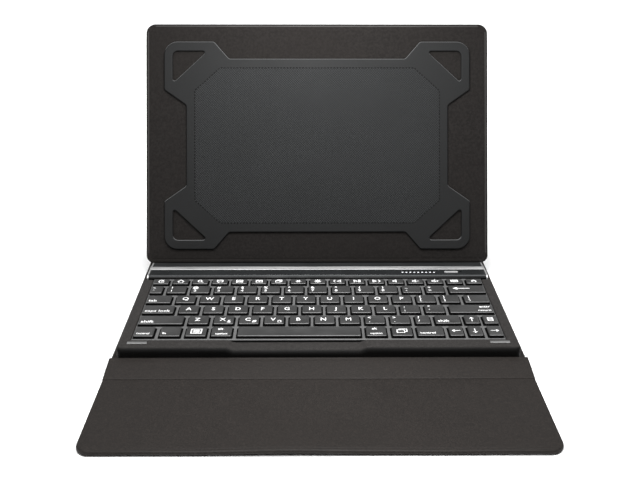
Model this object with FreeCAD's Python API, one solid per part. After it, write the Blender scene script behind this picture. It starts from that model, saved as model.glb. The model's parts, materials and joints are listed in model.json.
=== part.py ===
import FreeCAD, Part
import math
import os

# Tablet keyboard case, standing open in its typing position.  Units are millimetres.
# Origin: centre of the underside of the base.  +X is the user's right, +Y is away from the user, +Z is up.

Vec = FreeCAD.Vector

# ---- Folio cover -------------------------------------------------------------------------------------------
cover_width = 276.8
half_width = cover_width / 2
cover_thickness = 3.0
skin = 0.6
edge_wall = 0.8
base_front = -95.5
base_back = 95.5

# Front strip and front flap, which wrap the front edge of the closed case.
strip_hinge_y = -96.0
strip_hinge_z = 6.2
crease_y = -118.9
crease_z = 3.1
strip_thickness = 2.9
flap_back = -119.2
flap_front = -201.2
flap_underside = 0.1
flap_corner_radius = 10.0
flap_magnet_size = (14.0, 8.0, 1.2)
flap_magnet_places = (-98.0, 98.0)
flap_magnet_inset = 8.0

# Spine strip behind the base, and the leg that props the panel.
spine_front = 97.0
spine_back = 120.4
spine_thickness = 2.4
leg_thickness = 2.0
leg_overhang = 3.5
leg_ground_gap = 0.05
fold_height = 138.5

# ---- Tablet panel ------------------------------------------------------------------------------------------
panel_width = 273.4
panel_height = 191.0
panel_thickness = 2.2
panel_angle = 69.2
panel_foot = (53.2, 13.3)
panel_foot_closed = (96.1, 24.1)
panel_top_radius = 7.6
panel_bottom_radius = 5.6
lining = 0.5
back_cover_thickness = 2.3
moving_gap = 0.3

# Rubber mat that holds the tablet.  Sizes are measured from the mat's centre.
mat_centre_height = 93.65
mat_thickness = 1.6
mat_half_width = 122.2
mat_half_height = 83.0
mat_corner_radius = 10.7
lobe_top_inner = 82.4
lobe_side_inner = 44.6
body_top = (70.5, 69.3)
body_side = (104.6, 32.3)
bond_corner_top = (77.5, 62.0)
bond_corner_side = (97.8, 44.0)
loop_line_offset = 3.5
window_outer = (115.3, 75.5)
window_top_tip = 87.7
window_side_tip = 49.9
window_outer_radius = 4.0
window_tip_radius = 1.4

# ---- Keyboard tray -----------------------------------------------------------------------------------------
tray_half_width = 133.4
tray_inner_half_width = 126.0
tray_floor_top = 4.2
rim_top = 12.6
tray_rim_back = 21.2
lip_inner = -82.4
lip_radius = 3.5
scoop_left = -61.8
scoop_right = 32.8
scoop_depth = 1.8
scoop_slope = 4.0
rail_front = 52.9
rail_back = 59.5
rail_clearance = 0.48
rail_magnet_places = (-90.0, 0.0, 90.0)
rail_magnet_length = 40.0
rail_magnet_width = 3.0
rail_magnet_height = 4.0
base_edge_radius = 1.2
contact_bar_inner = 114.2
contact_bar_outer = 127.6
contact_bar_front = -88.0
contact_bar_back = -85.0
contact_bar_proud = 0.4

# ---- Keyboard ----------------------------------------------------------------------------------------------
keyboard_half_width = 125.7
keyboard_front = -82.1
keyboard_under = 4.5
deck_back = 21.2
deck_top = 12.6
deck_thickness = 1.2
deck_skirt = 0.55
case_wall = 1.2
case_wall_top = 10.0
membrane_bottom = 8.6
membrane_top = 9.6
dome_height = 0.4
dome_radius = 3.0
rib_places = (-104.0, -64.0, -14.0, 14.0, 64.0, 104.0)
rib_thickness = 1.6
board_box = (20.0, 60.0, -70.0, -10.0)
board_thickness = 1.0
chip_box = (34.0, 44.0, -46.0, -36.0)
chip_thickness = 1.2

bar_half_width = 130.3
bar_front = 21.5
bar_back = 52.6
bar_top = 14.8
bar_bevel = 1.7
ledge_front = 40.4
ledge_top = 13.4
panel_strip_front = 23.9
panel_strip_back = 34.3
trim_front = 34.5
trim_back = 40.3
recess_depth = 0.8
end_plate_thickness = 1.0

# Bar: inside, socket, screws, switch, lights and battery.
cavity_front = bar_front + 2.0
cavity_back = bar_back - 2.0
cavity_top = 12.0
boss_radius = 2.2
socket_y = 44.0
socket_width = 7.6
socket_height = 2.8
socket_z = 8.6
screw_hole_radius = 0.8
screw_head_radius = 1.4
screw_head_depth = 0.6
screw_length = 4.6
screw_places = [(x, y) for x in (-120.0, 0.0, 120.0) for y in (46.8, 25.6)]
switch_left = 98.6
switch_right = 109.1
switch_y = 28.9
switch_depth = 2.6
switch_travel = 2.4
light_left = 65.2
light_right = 91.2
light_count = 9
light_y = 28.4
light_radius = 0.75
battery_places = (-60.0, 60.0)
battery_length = 84.0
battery_front = 29.5
battery_back = 43.5
battery_height = 4.4

# Keys.
key_left_edge = -124.75
key_right_edge = 124.75
key_pitch = 17.5
key_width = 13.8
key_top = 14.4
key_height = 2.6
key_clearance = 1.0
key_field_inset = 0.55
key_corner_radius = 1.1
key_edge_radius = 0.35
function_key_width = 11.65
function_key_count = 17

# Key rows: front edges and depths.
function_front = 8.5
number_front = -8.5
upper_front = -26.0
home_front = -43.5
lower_front = -61.0
bottom_front = -79.7
function_depth = 8.8
letter_depth = 12.8
bottom_depth = 14.2

parts_folder = "parts"
os.makedirs(parts_folder, exist_ok=True)


def save(shape, name):
    """Write one sub-part to its own file and report its volume."""
    shape.exportStep(parts_folder + "/" + name + ".step")
    state = "valid" if shape.isValid() else "INVALID"
    print(name, state, len(shape.Solids), "solids", round(shape.Volume, 1))


def box(x0, x1, y0, y1, z0, z1):
    return Part.makeBox(x1 - x0, y1 - y0, z1 - z0, Vec(x0, y0, z0))


def mirrored(shape):
    """The same shape on the other side of the symmetry plane X = 0."""
    return shape.mirror(Vec(0, 0, 0), Vec(1, 0, 0))


def profile_x(points, x0, x1):
    """A closed (Y, Z) outline drawn out along X."""
    wire = Part.makePolygon([Vec(x0, y, z) for y, z in points + points[:1]])
    return Part.Face(wire).extrude(Vec(x1 - x0, 0, 0))


def plate(points, z0, z1):
    """A closed (X, Y) outline drawn out along Z."""
    wire = Part.makePolygon([Vec(x, y, z0) for x, y in points + points[:1]])
    return Part.Face(wire).extrude(Vec(0, 0, z1 - z0))


def upright_edges(solid, chosen=None):
    """The edges of a plate that run along Z, all of them or those that a test picks by (X, Y)."""
    edges = []
    for edge in solid.Edges:
        a = edge.Vertexes[0].Point
        b = edge.Vertexes[-1].Point
        straight_up = math.hypot(a.x - b.x, a.y - b.y) < 1e-6 and abs(a.z - b.z) > 1e-6
        if straight_up and (chosen is None or chosen(a.x, a.y)):
            edges.append(edge)
    return edges


def long_edges(solid):
    """The edges of a block that run along X."""
    return [e for e in solid.Edges if abs(e.Vertexes[0].Point.x - e.Vertexes[-1].Point.x) > 1.0]


def edges_at_height(solid, z):
    """The edges that lie wholly in the level plane at z."""
    return [e for e in solid.Edges if all(abs(v.Point.z - z) < 1e-6 for v in e.Vertexes)]


def rounded_plate(x0, x1, y0, y1, z0, z1, low_radius, high_radius):
    """A plate whose two corners at y0 and two corners at y1 are rounded."""
    solid = box(x0, x1, y0, y1, z0, z1)
    middle = (y0 + y1) / 2

    def at_high_corner(x, y):
        return y > middle and (abs(x - x0) < 1e-6 or abs(x - x1) < 1e-6)

    solid = solid.makeFillet(low_radius, upright_edges(solid, lambda x, y: y < middle))
    return solid.makeFillet(high_radius, upright_edges(solid, at_high_corner))


# ---- Folding geometry --------------------------------------------------------------------------------------
def turned(point, centre, angle):
    """A (Y, Z) point turned about a centre by an angle in radians, from +Y towards +Z."""
    y = point[0] - centre[0]
    z = point[1] - centre[1]
    return (centre[0] + y * math.cos(angle) - z * math.sin(angle),
            centre[1] + y * math.sin(angle) + z * math.cos(angle))


def panel_point(height, forward):
    """World (Y, Z) of a point at a height up the open panel and a distance in front of its face."""
    y, z = turned((height, forward), (0.0, 0.0), math.radians(panel_angle))
    return (panel_foot[0] + y, panel_foot[1] + z)


def folding_centre():
    """The one centre about which a plain turn carries the open panel onto the closed one."""
    dy = panel_foot_closed[0] - panel_foot[0]
    dz = panel_foot_closed[1] - panel_foot[1]
    half = math.hypot(dy, dz) / 2
    rise = half / math.tan(math.radians(180.0 - panel_angle) / 2)
    return ((panel_foot[0] + panel_foot_closed[0]) / 2 - dz / (2 * half) * rise,
            (panel_foot[1] + panel_foot_closed[1]) / 2 + dy / (2 * half) * rise)


leg_inner = -(panel_thickness + moving_gap)
leg_outer = leg_inner - leg_thickness
fold_line = panel_point(fold_height, leg_outer)


def leg_opening():
    """Angle in radians between panel and leg at which the leg's rounded end touches the table."""
    along = fold_height + leg_overhang - leg_thickness / 2
    across = leg_thickness / 2
    drop = fold_line[1] - leg_ground_gap - leg_thickness / 2
    lean = math.pi - math.asin(drop / math.hypot(along, across)) + math.atan2(across, along)
    return lean - math.radians(panel_angle)


def on_panel(shape):
    """Carry a shape drawn flat (X across, Y up the panel, Z out of its face) to the open panel."""
    placed = shape.copy()
    placed.rotate(Vec(0, 0, 0), Vec(1, 0, 0), panel_angle)
    placed.translate(Vec(0, panel_foot[0], panel_foot[1]))
    return placed


def on_leg(shape):
    """Carry a shape drawn flat on the closed panel's back to the opened leg."""
    placed = on_panel(shape)
    placed.rotate(Vec(0, fold_line[0], fold_line[1]), Vec(1, 0, 0), math.degrees(leg_opening()))
    return placed


pole = folding_centre()


# ---- Base cover --------------------------------------------------------------------------------------------
def wrapped_panel(x0, x1, y0, y1, z0, z1):
    """A board wrapped in a skin that covers one face and all four edges: returns skin and board."""
    outer = box(x0, x1, y0, y1, z0, z1)
    board = box(x0 + edge_wall, x1 - edge_wall, y0 + edge_wall, y1 - edge_wall, z0 + skin, z1)
    return outer.cut(board), board


def make_base():
    outer = box(-half_width, half_width, base_front, base_back, 0.0, cover_thickness)
    side_edges = [e for e in outer.Edges if abs(e.Vertexes[0].Point.y - e.Vertexes[-1].Point.y) > 1.0]
    outer = outer.makeFillet(base_edge_radius, side_edges)
    inner_x = half_width - edge_wall
    pocket = box(-inner_x, inner_x, base_front + edge_wall, base_back - edge_wall,
                 skin, cover_thickness - skin)
    opening = box(-inner_x + 1.0, inner_x - 1.0, base_front + edge_wall + 1.0, base_back - edge_wall - 1.0,
                  cover_thickness - skin, cover_thickness + 1.0)
    save(outer.cut(pocket).cut(opening), "base_outer_cover")
    save(pocket, "base_board")
    opening_box = opening.BoundBox
    save(box(opening_box.XMin, opening_box.XMax, opening_box.YMin, opening_box.YMax,
             cover_thickness - skin, cover_thickness), "base_lining")


def make_tray():
    floor = box(-tray_half_width, tray_half_width, lip_inner, rail_back, cover_thickness, tray_floor_top)
    lip = profile_x([(base_front, cover_thickness), (lip_inner, cover_thickness), (lip_inner, rim_top),
                     (base_front, rim_top)], -tray_half_width, tray_half_width)
    front_top = [e for e in lip.Edges
                 if all(abs(v.Point.y - base_front) < 1e-6 and abs(v.Point.z - rim_top) < 1e-6
                        for v in e.Vertexes)]
    lip = lip.makeFillet(lip_radius, front_top)
    rims = box(tray_inner_half_width, tray_half_width, lip_inner, tray_rim_back, cover_thickness, rim_top)
    tray = floor.fuse([lip, rims, mirrored(rims)])

    # The rail's top is hollowed along the path of the panel's foot.
    radius = math.hypot(panel_foot[0] - pole[0], panel_foot[1] - pole[1]) + rail_clearance
    rail = box(-tray_half_width, tray_half_width, rail_front, rail_back, cover_thickness, rim_top + 1.0)
    path = Part.makeCylinder(radius, 2 * tray_half_width + 2, Vec(-tray_half_width - 1, pole[0], pole[1]),
                             Vec(1, 0, 0))
    magnets = make_rail_magnets()
    tray = tray.fuse(rail.cut(path)).cut(magnets).removeSplitter()

    # Thumb scoop in the front lip, with sloping ends.
    floor_z = rim_top - scoop_depth
    outline = [(scoop_left, rim_top + 0.01), (scoop_left + scoop_slope, floor_z),
               (scoop_right - scoop_slope, floor_z), (scoop_right, rim_top + 0.01)]
    wire = Part.makePolygon([Vec(x, base_front - 1, z) for x, z in outline + outline[:1]])
    scoop = Part.Face(wire).extrude(Vec(0, lip_inner - base_front + 2, 0))
    tray = tray.cut(scoop)
    bars = make_contact_bars()
    save(tray.cut(bars), "keyboard_tray")
    save(bars, "tray_contact_bars")
    save(magnets, "rail_magnets")


def make_rail_magnets():
    """Three bar magnets set in the rail's underside, which hold the panel's foot."""
    half = rail_magnet_length / 2
    front = rail_front + 1.2
    bars = [box(x - half, x + half, front, front + rail_magnet_width,
                cover_thickness, cover_thickness + rail_magnet_height) for x in rail_magnet_places]
    return Part.makeCompound(bars)


def make_contact_bars():
    """Two short metal bars let into the lip's top, near its ends."""
    bar = box(contact_bar_inner, contact_bar_outer, contact_bar_front, contact_bar_back,
              rim_top - 0.8, rim_top + contact_bar_proud)
    bar = bar.makeFillet(0.25, edges_at_height(bar, rim_top + contact_bar_proud))
    return Part.makeCompound([bar, mirrored(bar)])


# ---- Keys --------------------------------------------------------------------------------------------------


def spread(start, count, pitch=key_pitch, width=key_width):
    """Equal keys, as (left, right) distances from the block's left edge."""
    return [(start + i * pitch, start + i * pitch + width) for i in range(count)]


block_width = key_right_edge - key_left_edge
function_pitch = (block_width - function_key_width) / (function_key_count - 1)
function_row = spread(0.0, function_key_count, function_pitch, function_key_width)

# Each entry: node, front edge, depth, [(left, right), ...] with distances from the block's left edge.
key_nodes = [
    ("escape_key", function_front, function_depth, function_row[:1]),
    ("function_row_keys", function_front, function_depth, function_row[1:-1]),
    ("lock_key", function_front, function_depth, function_row[-1:]),
    ("number_row_keys", number_front, letter_depth, [(0.0, 9.0)] + spread(12.7, 12)),
    ("backspace_key", number_front, letter_depth, [(222.7, block_width)]),
    ("tab_key", upper_front, letter_depth, [(0.0, 17.75)]),
    ("upper_letter_keys", upper_front, letter_depth, spread(21.45, 12) + [(231.45, block_width)]),
    ("caps_lock_key", home_front, letter_depth, [(0.0, 22.1)]),
    ("home_letter_keys", home_front, letter_depth, spread(25.8, 11)),
    ("enter_key", home_front, letter_depth, [(218.3, block_width)]),
    ("left_shift_key", lower_front, letter_depth, [(0.0, 30.9)]),
    ("lower_letter_keys", lower_front, letter_depth, spread(34.6, 9) + [(192.1, 202.3)]),
    ("right_shift_key", lower_front, letter_depth, [(205.9, 223.4)]),
    ("up_arrow_key", lower_front, letter_depth, [(226.5, 236.5)]),
    ("page_key", lower_front, letter_depth, [(239.6, block_width)]),
    ("left_control_key", bottom_front, bottom_depth, [(0.0, 13.3)]),
    ("layer_key", bottom_front, bottom_depth, [(17.4, 31.2)]),
    ("modifier_keys", bottom_front, bottom_depth,
     [(34.9, 48.7), (52.1, 65.9), (156.9, 170.6), (174.5, 188.2)]),
    ("space_key", bottom_front, bottom_depth, [(69.9, 153.2)]),
    ("right_control_key", bottom_front, bottom_depth, [(191.7, 209.6)]),
    ("left_arrow_key", bottom_front, bottom_depth, [(213.4, 222.9)]),
    ("down_arrow_key", bottom_front, bottom_depth, [(226.4, 235.9)]),
    ("right_arrow_key", bottom_front, bottom_depth, [(239.7, block_width)]),
]


def keycap(left, right, front, depth):
    cap = box(key_left_edge + left, key_left_edge + right, front, front + depth,
              key_top - key_height, key_top)
    cap = cap.makeFillet(key_corner_radius, upright_edges(cap))
    return cap.makeFillet(key_edge_radius, edges_at_height(cap, key_top))


def key_opening(left, right, front, depth):
    """The hole in the deck round one key."""
    limit = keyboard_half_width - key_field_inset
    low = max(key_left_edge + left - key_clearance, -limit)
    high = min(key_left_edge + right + key_clearance, limit)
    hole = box(low, high, front - key_clearance, front + depth + key_clearance,
               deck_top - deck_thickness - 1.0, deck_top + 1.0)
    return hole.makeFillet(key_corner_radius, upright_edges(hole))


def make_keys():
    for name, front, depth, spans in key_nodes:
        caps = [keycap(left, right, front, depth) for left, right in spans]
        save(caps[0] if len(caps) == 1 else Part.makeCompound(caps), name)


# ---- Keyboard body -----------------------------------------------------------------------------------------
def make_keyboard_case():
    """Open-topped lower case: floor under keys and bar, walls round the keys, ribs under the membrane."""
    floor_top = keyboard_under + case_wall
    key_floor = box(-keyboard_half_width, keyboard_half_width, keyboard_front, deck_back,
                    keyboard_under, case_wall_top)
    hollow = box(-keyboard_half_width + case_wall, keyboard_half_width - case_wall,
                 keyboard_front + case_wall, deck_back - case_wall, floor_top, case_wall_top + 1.0)
    bar_floor = box(-bar_half_width, bar_half_width, deck_back, bar_back, keyboard_under, floor_top)
    case = key_floor.cut(hollow).fuse(bar_floor)
    for x in rib_places:
        rib = box(x - rib_thickness / 2, x + rib_thickness / 2,
                  keyboard_front + case_wall, deck_back - case_wall, floor_top, membrane_bottom)
        case = case.fuse(rib)
    holes = [Part.makeCylinder(screw_hole_radius, case_wall + 2, Vec(x, y, keyboard_under - 1))
             for x, y in screw_places]
    holes += [Part.makeCylinder(screw_head_radius, screw_head_depth + 1, Vec(x, y, keyboard_under - 1))
              for x, y in screw_places]
    for hole in holes:
        case = case.cut(hole)
    save(case.removeSplitter(), "keyboard_bottom_case")


def make_case_screws():
    """Six screws, heads sunk in the lower case, that go up into the bar."""
    screws = []
    for x, y in screw_places:
        shank = Part.makeCylinder(screw_hole_radius, screw_length, Vec(x, y, keyboard_under))
        head = Part.makeCylinder(screw_head_radius, screw_head_depth, Vec(x, y, keyboard_under))
        slot = box(x - 1.0, x + 1.0, y - 0.18, y + 0.18, keyboard_under - 0.1, keyboard_under + 0.25)
        screws.append(shank.fuse(head).cut(slot))
    return Part.makeCompound(screws)


def make_deck():
    """Top plate with one opening for each key, and a thin skirt that stands on the lower case's walls."""
    deck = box(-keyboard_half_width, keyboard_half_width, keyboard_front, deck_back, case_wall_top, deck_top)
    deck = deck.makeChamfer(0.35, edges_at_height(deck, deck_top))
    deck = deck.cut(box(-keyboard_half_width + deck_skirt, keyboard_half_width - deck_skirt,
                        keyboard_front + deck_skirt, deck_back - deck_skirt,
                        case_wall_top - 1.0, deck_top - deck_thickness))
    openings = [key_opening(left, right, front, depth)
                for name, front, depth, spans in key_nodes for left, right in spans]
    save(deck.cut(Part.makeCompound(openings)), "keyboard_deck")


def make_membrane():
    """Rubber sheet with one pressed-down dome under each key."""
    sheet = box(-keyboard_half_width + 2.0, keyboard_half_width - 2.0, keyboard_front + 2.0, deck_back - 2.0,
                membrane_bottom, membrane_top)
    domes = []
    for name, front, depth, spans in key_nodes:
        for left, right in spans:
            x = key_left_edge + (left + right) / 2
            domes.append(Part.makeCylinder(dome_radius, dome_height, Vec(x, front + depth / 2, membrane_top)))
    save(sheet.fuse(domes), "key_membrane")


def make_circuit_board():
    low = keyboard_under + case_wall
    top = low + board_thickness
    board = box(*board_box, low, top)
    chip = box(*chip_box, top, top + chip_thickness)
    save(board.fuse(chip), "circuit_board")


def make_bar():
    """Raised bar behind the keys: an open-bottomed shell that holds the battery."""
    floor_top = keyboard_under + case_wall
    outline = [(bar_front, floor_top), (bar_back, floor_top), (bar_back, ledge_top - 0.4),
               (bar_back - 0.4, ledge_top), (ledge_front, ledge_top), (ledge_front, bar_top),
               (bar_front + bar_bevel, bar_top), (bar_front, bar_top - bar_bevel * 0.8)]
    bar = profile_x(outline, -bar_half_width, bar_half_width)
    bar = bar.cut(box(-bar_half_width + 2.0, bar_half_width - 2.0,
                      cavity_front, cavity_back, floor_top, cavity_top))
    bosses = []
    for x, y in screw_places:
        boss = Part.makeCylinder(boss_radius, cavity_top - floor_top, Vec(x, y, floor_top))
        bosses.append(boss.cut(Part.makeCylinder(screw_hole_radius, 3.6, Vec(x, y, floor_top))))
    bar = bar.fuse(bosses)
    recess = box(-bar_half_width + 0.7, bar_half_width - 0.7, panel_strip_front, panel_strip_back,
                 bar_top - recess_depth, bar_top + 1.0)
    trim_recess = box(-bar_half_width, bar_half_width, trim_front, trim_back,
                      bar_top - recess_depth, bar_top + 1.0)
    back_step = box(-bar_half_width - 1, bar_half_width + 1, trim_back, ledge_front + 0.01,
                    bar_top - recess_depth, bar_top + 1.0)
    bar = bar.cut(recess).cut(trim_recess).cut(back_step)
    bar = bar.cut(socket_block())
    save(bar.removeSplitter(), "bar_housing")


def socket_block():
    """The charging socket's body, seated in the bar's right-hand end."""
    return box(bar_half_width - 8.0, bar_half_width, socket_y - socket_width / 2 - 0.6,
               socket_y + socket_width / 2 + 0.6, socket_z - socket_height / 2 - 0.6,
               socket_z + socket_height / 2 + 0.6)


def socket_mouth():
    mouth = box(bar_half_width - 6.5, bar_half_width + 3.0, socket_y - socket_width / 2,
                socket_y + socket_width / 2, socket_z - socket_height / 2, socket_z + socket_height / 2)
    return mouth.makeFillet(1.0, long_edges(mouth))


def make_socket():
    tongue = box(bar_half_width - 6.5, bar_half_width - 1.5, socket_y - 2.6, socket_y + 2.6,
                 socket_z - 0.3, socket_z + 0.3)
    save(socket_block().cut(socket_mouth()).fuse(tongue), "charging_socket")


def make_end_plates():
    """Thin bright plates that cap the bar's ends: the right-hand one has the socket's opening."""
    bottom = keyboard_under + case_wall
    outline = [(bar_front, bottom), (bar_back, bottom), (bar_back, ledge_top), (ledge_front + 0.4, bar_top),
               (bar_front + bar_bevel, bar_top + 0.2), (bar_front, bar_top - bar_bevel * 0.8)]
    right = profile_x(outline, bar_half_width, bar_half_width + end_plate_thickness)
    save(Part.makeCompound([mirrored(right), right.cut(socket_mouth())]), "bar_end_plates")


def light_places():
    step = (light_right - light_left - 2 * light_radius) / (light_count - 1)
    return [light_left + light_radius + i * step for i in range(light_count)]


def make_indicator_panel():
    """Glossy strip with the indicator lights and the power switch."""
    bottom = bar_top - recess_depth
    strip = box(-bar_half_width + 0.7, bar_half_width - 0.7, panel_strip_front, panel_strip_back,
                bottom, bar_top + 0.2)
    strip = strip.makeFillet(0.15, edges_at_height(strip, bar_top + 0.2))
    slot = box(switch_left - 0.35, switch_right + switch_travel + 0.35, switch_y - switch_depth / 2 - 0.35,
               switch_y + switch_depth / 2 + 0.35, bottom - 1.0, bar_top + 2.0)
    lights = [Part.makeCylinder(light_radius, 0.5, Vec(x, light_y, bar_top - 0.25)) for x in light_places()]
    save(strip.cut(slot).cut(Part.makeCompound(lights)), "indicator_panel")
    save(Part.makeCompound(lights), "indicator_lights")
    knob = box(switch_left, switch_right, switch_y - switch_depth / 2, switch_y + switch_depth / 2,
               bottom + 0.3, bar_top + 0.6)
    knob = knob.makeFillet(0.8, upright_edges(knob))
    save(knob.makeFillet(0.2, edges_at_height(knob, bar_top + 0.6)), "power_switch_knob")


def make_trim():
    """Bright metal strip along the bar."""
    trim = box(-bar_half_width, bar_half_width, trim_front, trim_back, bar_top - recess_depth, bar_top + 0.4)
    save(trim.makeFillet(0.3, edges_at_height(trim, bar_top + 0.4)), "bar_trim_strip")


def make_battery():
    """Two flat cells side by side in the bar."""
    low = keyboard_under + case_wall
    half = battery_length / 2
    cells = [box(x - half, x + half, battery_front, battery_back, low, low + battery_height)
             for x in battery_places]
    cells = [c.makeFillet(1.2, long_edges(c)) for c in cells]
    save(Part.makeCompound(cells), "battery_cells")


# ---- Front strip and flap ----------------------------------------------------------------------------------
def make_front_strip():
    run = math.hypot(crease_y - strip_hinge_y, crease_z - strip_hinge_z)
    slope = math.degrees(math.atan2(strip_hinge_z - crease_z, strip_hinge_y - crease_y))

    def placed(shape):
        copy = shape.copy()
        copy.rotate(Vec(0, 0, 0), Vec(1, 0, 0), slope)
        copy.translate(Vec(0, strip_hinge_y, strip_hinge_z))
        return copy

    cover, board = wrapped_panel(-half_width, half_width, -run + 0.2, -0.4, -strip_thickness, 0.0)
    save(placed(cover), "front_strip_cover")
    save(placed(board), "front_strip_board")


def make_front_flap():
    top = crease_z - 0.1
    outer = rounded_plate(-half_width, half_width, flap_front, flap_back, flap_underside, top,
                          flap_corner_radius, 0.3)
    rim = [e for e in edges_at_height(outer, top) if e.BoundBox.YMin < flap_back - 1.0]
    outer = outer.makeFillet(0.9, rim)
    board = rounded_plate(-half_width + edge_wall, half_width - edge_wall, flap_front + edge_wall,
                          flap_back - edge_wall, flap_underside + skin, top - skin,
                          flap_corner_radius - edge_wall, 0.3)
    length, depth, height = flap_magnet_size
    near = flap_front + flap_magnet_inset
    magnets = [box(x - length / 2, x + length / 2, near, near + depth,
                   flap_underside + skin, flap_underside + skin + height) for x in flap_magnet_places]
    magnets = Part.makeCompound(magnets)
    save(outer.cut(board), "front_flap_cover")
    save(board.cut(magnets), "front_flap_board")
    save(magnets, "flap_magnets")


# ---- Spine, leg and panel ----------------------------------------------------------------------------------
def make_spine():
    cover, board = wrapped_panel(-half_width, half_width, spine_front, spine_back, 0.0, spine_thickness)
    save(cover, "spine_cover")
    save(board, "spine_board")


def make_rear_leg():
    low = -leg_overhang
    high = fold_height - moving_gap
    outer = box(-panel_width / 2, panel_width / 2, low, high, leg_outer, leg_inner)
    ends = [e for e in outer.Edges if all(abs(v.Point.y - low) < 1e-6 for v in e.Vertexes)
            and abs(e.Vertexes[0].Point.x - e.Vertexes[-1].Point.x) > 1.0]
    outer = outer.makeFillet(leg_thickness / 2 - 0.02, ends)
    board = box(-panel_width / 2 + edge_wall, panel_width / 2 - edge_wall, low + 2.0, high - edge_wall,
                leg_outer + 0.5, leg_inner)
    save(on_leg(outer.cut(board)), "rear_leg_cover")
    save(on_leg(board), "rear_leg_board")


def make_panel():
    half = panel_width / 2
    outer = rounded_plate(-half, half, 0.0, panel_height, -panel_thickness, 0.0,
                          panel_bottom_radius, panel_top_radius)
    outer = outer.makeFillet(0.45, edges_at_height(outer, 0.0))
    board = rounded_plate(-half + edge_wall, half - edge_wall, edge_wall, panel_height - edge_wall,
                          -panel_thickness, -lining, panel_bottom_radius - edge_wall,
                          panel_top_radius - edge_wall)
    foot_bar = box(-half + 12.0, half - 12.0, 2.0, 7.0, -panel_thickness + 0.4, -lining)
    save(on_panel(outer.cut(board)), "panel_lining")
    save(on_panel(board.cut(foot_bar)), "panel_board")
    save(on_panel(foot_bar), "panel_foot_steel")
    cover = rounded_plate(-half, half, fold_height + moving_gap, panel_height,
                          -panel_thickness - back_cover_thickness, -panel_thickness, 0.3, panel_top_radius)
    low_face = -panel_thickness - back_cover_thickness
    cover = cover.makeFillet(0.9, [e for e in edges_at_height(cover, low_face)
                                   if e.BoundBox.YMax > fold_height + 1.0])
    save(on_panel(cover), "panel_back_cover")


# ---- Tablet mat --------------------------------------------------------------------------------------------
def mat_blank():
    """The whole rubber mat as one plate, before its corner loops are parted from it."""
    quarter = [(body_top[0], body_top[1]), (lobe_top_inner, mat_half_height),
               (mat_half_width, mat_half_height), (mat_half_width, lobe_side_inner),
               (body_side[0], body_side[1])]
    right = quarter + [(x, -y) for x, y in reversed(quarter)]
    outline = right + [(-x, y) for x, y in reversed(right)]
    blank = plate(outline, 0.0, mat_thickness)

    def outer_corner(x, y):
        return abs(abs(x) - mat_half_width) < 1e-6 and abs(abs(y) - mat_half_height) < 1e-6

    return blank.makeFillet(mat_corner_radius, upright_edges(blank, outer_corner))


def loop_line():
    """Unit direction across the neck of a corner loop, and the neck's distance from the mat's centre."""
    run = bond_corner_side[0] - bond_corner_top[0]
    drop = bond_corner_top[1] - bond_corner_side[1]
    length = math.hypot(run, drop)
    across = (drop / length, run / length)
    distance = across[0] * bond_corner_top[0] + across[1] * bond_corner_top[1] + loop_line_offset
    return across, distance


def corner_block(gap):
    """A block that covers everything beyond the neck line, in the mat's upper right quarter."""
    across, distance = loop_line()
    reach = 120.0
    start = distance + gap
    points = []
    end = start + reach
    for sideways, outward in ((-reach, start), (reach, start), (reach, end), (-reach, end)):
        points.append((across[0] * outward + across[1] * sideways,
                       across[1] * outward - across[0] * sideways))
    return plate(points, -1.0, mat_thickness + 1.0)


def loop_window():
    """The three-cornered window in one corner loop."""
    window = plate([window_outer, (window_top_tip, window_outer[1]), (window_outer[0], window_side_tip)],
                   -1.0, mat_thickness + 1.0)

    def at_outer(x, y):
        return abs(x - window_outer[0]) < 1e-6 and abs(y - window_outer[1]) < 1e-6

    def at_tip(x, y):
        on_top = abs(x - window_top_tip) < 1e-6
        on_side = abs(y - window_side_tip) < 1e-6
        return on_top or on_side

    window = window.makeFillet(window_tip_radius, upright_edges(window, at_tip))
    return window.makeFillet(window_outer_radius, upright_edges(window, at_outer))


def make_mat():
    blank = mat_blank()

    def all_quarters(shape):
        right = [shape, shape.mirror(Vec(0, 0, 0), Vec(0, 1, 0))]
        return right + [mirrored(s) for s in right]

    def placed(shape):
        moved = shape.copy()
        moved.translate(Vec(0, mat_centre_height, 0))
        return on_panel(moved)

    centre = blank
    for block in all_quarters(corner_block(0.0)):
        centre = centre.cut(block)
    save(placed(centre), "mat_centre")
    loop = blank.common(corner_block(moving_gap)).cut(loop_window())
    names = ["corner_loop_top_right", "corner_loop_bottom_right", "corner_loop_top_left",
             "corner_loop_bottom_left"]
    for name, shape in zip(names, all_quarters(loop)):
        save(placed(shape), name)


make_base()
make_tray()
make_keyboard_case()
save(make_case_screws(), "case_screws")
make_deck()
make_membrane()
make_circuit_board()
make_bar()
make_socket()
make_end_plates()
make_indicator_panel()
make_trim()
make_battery()
make_keys()
make_front_strip()
make_front_flap()
make_spine()
make_rear_leg()
make_panel()
make_mat()

across, distance = loop_line()
print("folding centre", pole)
print("leg fold line", fold_line, "opening", math.degrees(leg_opening()))
print("corner loop line", across, distance)
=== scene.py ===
import json
import math

import bmesh
import bpy
from mathutils import Matrix, Vector


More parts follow.
